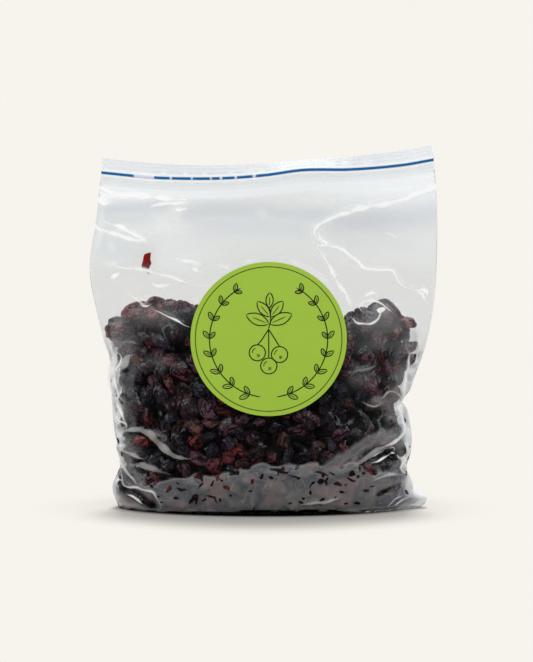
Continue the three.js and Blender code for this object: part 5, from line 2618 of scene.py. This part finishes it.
@dataclass
class SprigPrint:
    """A plain printed wreath of leaves round a sprig of berries, drawn in lines of ink."""

    ring_radius: float = 41.6
    wreath_radius: float = 33.5
    leaf_pairs: int = 8
    line: float = 0.62
    thin_line: float = 0.42
    spacing: float = 0.8
    fewest_steps: int = 10
    end_blunting: float = 0.06
    leaf_steps: int = 12
    leaf_roundness: float = 0.8
    vein: tuple[float, float, int] = (0.12, 0.72, 6)
    branch_ends: Span = (-82, 62)
    branch_steps: int = 60
    branch_leaves: Pairs = ((42, 6.4), (-40, 5.6))
    branch_fat: float = 0.42
    first_leaf: float = 0.6
    leaf_shrink: float = 0.03
    berry_radius: float = 4.6
    berries: Path = ((-6.4, -7.6), (6.2, -8.6), (0.1, -15.2))
    glint_share: float = 0.62
    glint_angles: Span = (110, 185)
    star_tips: int = 5
    star_reach: tuple[float, float, int] = (0.15, 1.15, 4)
    star_place: Span = (0.6, -1.6)
    stalk_bend: float = 0.6
    stalk_top: Span = (0, 6)
    stem: Path = ((0, 6), (1.2, 12), (0.4, 19))
    sprig_leaves: tuple[tuple[float, float, float, float], ...] = (
        (0.5, 9, 24, 14), (0.2, 9, 158, 14), (1.1, 13, 52, 11.5), (0.9, 13, 130, 11.5), (0.4, 18, 88, 9),
    )
    sprig_fat: float = 0.46

    def build(self) -> bmesh.types.BMesh:
        """Draws the whole print flat, in millimetres from its centre.

        Returns:
            The drawing.
        """
        ink = bmesh.new()
        self.arc(ink, 0, 0, self.ring_radius, 0, 360, self.thin_line)
        for side in (-1, 1):
            self.branch(ink, side)
        self.sprig(ink)
        return ink

    def stroke(self, ink: bmesh.types.BMesh, points: Array, width: float, closed: bool = False) -> None:
        """Adds one line of ink with round ends.

        Args:
            ink: The drawing.
            points: The line's points, close together.
            width: The line's width.
            closed: Whether the line's end meets its start.
        """
        count = len(points)
        made = bmesh.ops.create_grid(ink, x_segments=count - 1, y_segments=1, size=1)
        if closed:
            direction = unit(np.roll(points[:-1], -1, axis=0) - np.roll(points[:-1], 1, axis=0))
            direction = np.concatenate([direction, direction[:1]])
        else:
            direction = unit(np.gradient(points, axis=0))
        aside = left_of(direction)
        length = np.concatenate([[0], np.cumsum(np.linalg.norm(np.diff(points, axis=0), axis=1))])
        end = np.minimum(length, length[-1] - length) / (width / 2)
        half = np.full(count, width / 2)
        if not closed:
            half = width / 2 * np.sqrt(np.clip(1 - (1 - np.minimum(end, 1)) ** 2, self.end_blunting, 1))
        for vert in made["verts"]:
            _, step = grid_step(vert, 2, count)
            x, y = points[step] + math.copysign(1, vert.co.y) * half[step] * aside[step]
            vert.co = (x, y, 0)
        if closed:
            bmesh.ops.remove_doubles(ink, verts=made["verts"], dist=MERGED)

    def arc(
        self, ink: bmesh.types.BMesh, x: float, y: float, radius: float,
        start: float, end: float, width: float,
    ) -> None:
        """Adds part of a circle, between two angles in degrees.

        Args:
            ink: The drawing.
            x: The x of the circle's middle.
            y: The y of its middle.
            radius: Its radius.
            start: The angle where the arc starts.
            end: The angle where it ends.
            width: The line's width.
        """
        turn = math.radians(end - start)
        count = max(self.fewest_steps, round(abs(turn) * radius / self.spacing))
        angles = math.radians(start) + np.linspace(0, turn, count)
        points = np.stack([x + radius * np.cos(angles), y + radius * np.sin(angles)], axis=1)
        self.stroke(ink, points, width, closed=abs(end - start) == 360)

    def leaf(
        self, ink: bmesh.types.BMesh, x: float, y: float, angle: float, length: float, fat: float
    ) -> None:
        """Adds one pointed leaf with a middle vein.

        Args:
            ink: The drawing.
            x: Where the leaf starts.
            y: Where the leaf starts.
            angle: The way it points, in degrees.
            length: Its length.
            fat: Its width as a share of its length.
        """
        share = np.linspace(0, 1, self.leaf_steps)
        bulge = fat * length / 2 * np.sin(math.pi * share) ** self.leaf_roundness
        turn = math.radians(angle)
        along = np.array([math.cos(turn), math.sin(turn)])
        aside = np.array([-math.sin(turn), math.cos(turn)])
        start = np.array([x, y])
        for side in (-1, 1):
            points = start + share[:, None] * length * along + side * bulge[:, None] * aside
            self.stroke(ink, points, self.line)
        vein = start + np.linspace(*self.vein)[:, None] * length * along
        self.stroke(ink, vein, self.thin_line)

    def branch(self, ink: bmesh.types.BMesh, side: int) -> None:
        """Adds one half of the wreath, from its foot up one side.

        Args:
            ink: The drawing.
            side: 1 for the right half, -1 for the left one.
        """
        foot, top = self.branch_ends
        radians = np.radians(np.linspace(foot, top, self.branch_steps))
        stem = self.wreath_radius * np.stack([side * np.cos(radians), np.sin(radians)], axis=1)
        self.stroke(ink, stem, self.line)
        for number in range(self.leaf_pairs):
            place = foot + (top - foot) * (number + self.first_leaf) / self.leaf_pairs
            turn = math.radians(place)
            x, y = side * self.wreath_radius * math.cos(turn), self.wreath_radius * math.sin(turn)
            for lean, length in self.branch_leaves:
                heading = place + 90 - lean
                angle = heading if side > 0 else 180 - heading
                self.leaf(ink, x, y, angle, length * (1 - self.leaf_shrink * number), self.branch_fat)

    def sprig(self, ink: bmesh.types.BMesh) -> None:
        """Adds three berries that hang below five leaves."""
        for x, y in self.berries:
            self.arc(ink, x, y, self.berry_radius, 0, 360, self.line)
            self.arc(ink, x, y, self.berry_radius * self.glint_share, *self.glint_angles, self.thin_line)
            for number in range(self.star_tips):
                tip = math.radians(360 / self.star_tips * number - 90)
                points = np.linspace(*self.star_reach)[:, None] * np.array([math.cos(tip), math.sin(tip)])
                self.stroke(ink, points + (x + self.star_place[0], y + self.star_place[1]), self.thin_line)
            bent = (x * self.stalk_bend, 0)
            stalk = smooth_line(((x, y + self.berry_radius), bent, self.stalk_top), self.spacing)
            self.stroke(ink, stalk, self.line)
        self.stroke(ink, smooth_line(self.stem, self.spacing), self.line)
        for x, y, angle, length in self.sprig_leaves:
            self.leaf(ink, x, y, angle, length, self.sprig_fat)


@dataclass
class Sticker:
    """The round sticker on the front film, with a plain berry sprig printed on it."""

    form: BagForm
    radius: float = 44.4
    up_share: float = 0.975
    x: float = 2.9
    z: float = 101.7
    thickness: float = 0.14
    lift: float = 0.3
    rings: int = 18
    sides: int = 128
    film_inset: float = -0.15
    film_margin: Span = (0.6, 4)
    steep: float = 0.5
    ink_lift: float = 0.03
    ink_thickness: float = 0.05

    def clearance(self, x: Array, z: Array) -> Array:
        """0 behind the sticker, rising to 1 a few millimetres outside its edge."""
        away = np.hypot(x - self.x, (z - self.z) / self.up_share) - self.radius
        return smoothstep(away, *self.film_margin)

    def place(self, right: Array, up: Array, out: Array) -> Array:
        """Points given from the sticker's centre, laid on the bent front film, in metres."""
        x, z = self.x + right, self.z + self.up_share * up
        y = self.form.plane_at(x, z, Face.FRONT) - self.lift - out
        return np.stack([x, y, z], axis=-1) * MM

    def disc(self) -> bpy.types.Object:
        """The green paper: a line spun into a disc and given its thickness.

        Returns:
            The new piece.
        """
        paper = bmesh.new()
        spokes = np.linspace(0, self.radius, self.rings + 1)
        line = [paper.verts.new((reach, 0, 0)) for reach in spokes]
        edges = [paper.edges.new(pair) for pair in zip(line, line[1:])]
        bmesh.ops.spin(
            paper, geom=line + edges, cent=(0, 0, 0), axis=(0, 0, 1), angle=2 * math.pi,
            steps=self.sides, use_merge=True,
        )
        bmesh.ops.remove_doubles(paper, verts=paper.verts[:], dist=MERGED)
        self.thicken(paper, self.thickness, 0)
        return mesh_from_bmesh("sticker", paper)

    def thicken(self, flat: bmesh.types.BMesh, thickness: float, lift: float) -> None:
        """Gives a flat shape a thickness and bends it onto the film.

        Args:
            flat: The shape, in millimetres from the sticker's centre.
            thickness: Its thickness.
            lift: How far its under side stands off the sticker's own plane.
        """
        for face in flat.faces:
            if face.normal.z < 0:
                face.normal_flip()
        flat.normal_update()
        bmesh.ops.solidify(flat, geom=flat.faces[:], thickness=thickness)
        top = max(vert.co.z for vert in flat.verts)
        for edge in flat.edges:
            edge.smooth = not any(abs(face.normal.z) < self.steep for face in edge.link_faces)
        bmesh.ops.translate(flat, verts=flat.verts[:], vec=(0, 0, -top))
        right, up, out = corner_places(flat).T
        move_corners(flat, self.place(right, up, out + thickness + lift))
        bmesh.ops.recalc_face_normals(flat, faces=flat.faces[:])

    def build(self) -> None:
        """Makes the paper and its print."""
        paper = self.disc()
        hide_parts("label")
        finish_piece(paper, PAPER_FINISH.material())
        ink = SprigPrint().build()
        self.thicken(ink, self.ink_thickness, self.thickness + self.ink_lift)
        finish_piece(mesh_from_bmesh("sticker_print", ink), INK_FINISH.material())


@dataclass
class Studio:
    """A pale floor, an even pale surround, soft lights and the camera."""

    aim: tuple[float, float, float] = (1.7, 0, 103)
    elevation: float = math.radians(6)
    distance: float = 1600
    frame_height: float = 383
    sensor: float = 36.0
    floor_radius: float = 6
    floor_sides: int = 64
    clear_bounces: int = 32
    bounces: int = 10
    floor_drop: float = 0.0002
    even_colour: Colour = (1, 0.995, 0.98, 1)
    even_light: Span = (0.15, 0.98)
    room_colour: Colour = (0.92, 0.96, 1, 1)
    dark_light: float = 0.004
    dome: Span = (0.4, 0.95)
    dome_light: float = 0.5
    panel: Span = (0.84, 0.98)
    panel_light: float = 1
    window: Span = (0.72, 0.8)
    window_light: float = 1
    strip: Span = (0.78, 0.86)
    strip_end: Span = (0.4, 0.6)
    strip_light: float = 1.2
    back: Span = (-0.25, 0.4)
    back_light: float = 0.93
    slot_edge: float = 0.02
    lamp_place: tuple[float, float, float] = (0, 0.5, 1.15)
    lamp_aim: tuple[float, float, float] = (0, 0, 0.1)
    lamp_size: float = 0.45
    lamp_power: float = 11

    def build(self) -> None:
        """Makes everything around the bag."""
        self.floor()
        self.world()
        self.lamp()
        self.camera()
        scene = bpy.context.scene
        scene.view_settings.view_transform = "Standard"
        scene.cycles.transparent_max_bounces = self.clear_bounces
        scene.cycles.max_bounces = self.bounces

    def floor(self) -> None:
        """A wide round floor."""
        card = bmesh.new()
        bmesh.ops.create_circle(card, cap_ends=True, segments=self.floor_sides, radius=self.floor_radius)
        bmesh.ops.translate(card, verts=card.verts[:], vec=(0, 0, -self.floor_drop))
        data = bpy.data.meshes.new("floor")
        card.to_mesh(data)
        card.free()
        data.materials.append(FloorFinish().material())
        linked_object("floor", data)

    def world(self) -> None:
        """An even surround, and a dark room with windows for reflections."""
        world = bpy.data.worlds.new("surround")
        bpy.context.scene.world = world
        world.use_nodes = True
        graph = NodeGraph(world.node_tree)
        parts = graph.add("SeparateXYZ", {0: graph.add("TexCoord").outputs["Generated"]})
        x, y, z = parts.outputs
        soft = graph.scaled(z, *self.even_light)
        even = graph.add("Background", {"Color": self.even_colour, "Strength": soft})
        low = graph.rest(graph.rise(graph.math("ABSOLUTE", z), *self.strip_end))
        strips = graph.product(self.slot_of(graph, graph.math("ABSOLUTE", x), *self.strip), low)
        window = graph.product(self.slot_of(graph, z, *self.window), self.window_light)
        panel = graph.scaled(graph.rise(z, *self.panel), self.panel_light, window)
        lights = graph.scaled(strips, self.strip_light, panel)
        behind = graph.scaled(graph.rise(y, *self.back), self.back_light, lights)
        dome = graph.scaled(graph.rise(z, *self.dome), self.dome_light, self.dark_light)
        mirrored = graph.math("ADD", behind, dome)
        room = graph.add("Background", {"Color": self.room_colour, "Strength": mirrored})
        around = graph.blend(graph.add("LightPath").outputs["Is Glossy Ray"], even, room)
        seen = graph.add("Background", {"Color": SURROUND, "Strength": 1})
        shown = graph.blend(graph.add("LightPath").outputs["Is Camera Ray"], around, seen)
        graph.add("OutputWorld", {"Surface": shown})

    def slot_of(self, graph: NodeGraph, value: Any, low: float, high: float) -> bpy.types.Node:
        """1 between two values and 0 outside them, with soft edges.

        Args:
            graph: The world's nodes.
            value: What is compared.
            low: The lower value.
            high: The upper value.

        Returns:
            The new node.
        """
        risen, fallen = (
            graph.rise(value, place - self.slot_edge, place + self.slot_edge) for place in (low, high)
        )
        return graph.math("SUBTRACT", risen, fallen)

    def lamp(self) -> None:
        """A large soft light high up behind the bag, so that its shadow falls forward."""
        data = bpy.data.lights.new("high_lamp", "AREA")
        data.shape = "SQUARE"
        data.size = self.lamp_size
        data.energy = self.lamp_power
        lamp = linked_object("high_lamp", data)
        lamp.location = self.lamp_place
        aim = Vector(self.lamp_aim) - Vector(self.lamp_place)
        lamp.rotation_euler = aim.to_track_quat("-Z", "Y").to_euler()
        lamp.visible_camera = False
        lamp.visible_glossy = False

    def camera(self) -> None:
        """The camera at the photograph's viewing angle."""
        data = bpy.data.cameras.new("camera")
        data.sensor_fit = "VERTICAL"
        data.sensor_height = self.sensor
        data.lens = self.sensor * self.distance / self.frame_height
        camera = linked_object("camera", data)
        aim = Vector(self.aim) * MM
        toward = Vector((0, -math.cos(self.elevation), math.sin(self.elevation)))
        camera.location = aim + toward * self.distance * MM
        camera.rotation_euler = (-toward).to_track_quat("-Z", "Y").to_euler()
        bpy.context.scene.camera = camera


def main() -> None:
    """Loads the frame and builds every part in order."""
    logging.basicConfig(level=logging.INFO, format="%(message)s")
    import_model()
    form = BagForm()
    sticker = Sticker(form)
    heap = FruitHeap(form, calm=sticker.clearance)
    heap.build()
    film = BagFilm(form, heap)
    film.build(sticker)
    ZipLine(form).build()
    FoldHighlights(film).build()
    Scraps(film).build()
    StrayFruit(film).build()
    sticker.build()
    Studio().build()


if __name__ == "__main__":
    main()
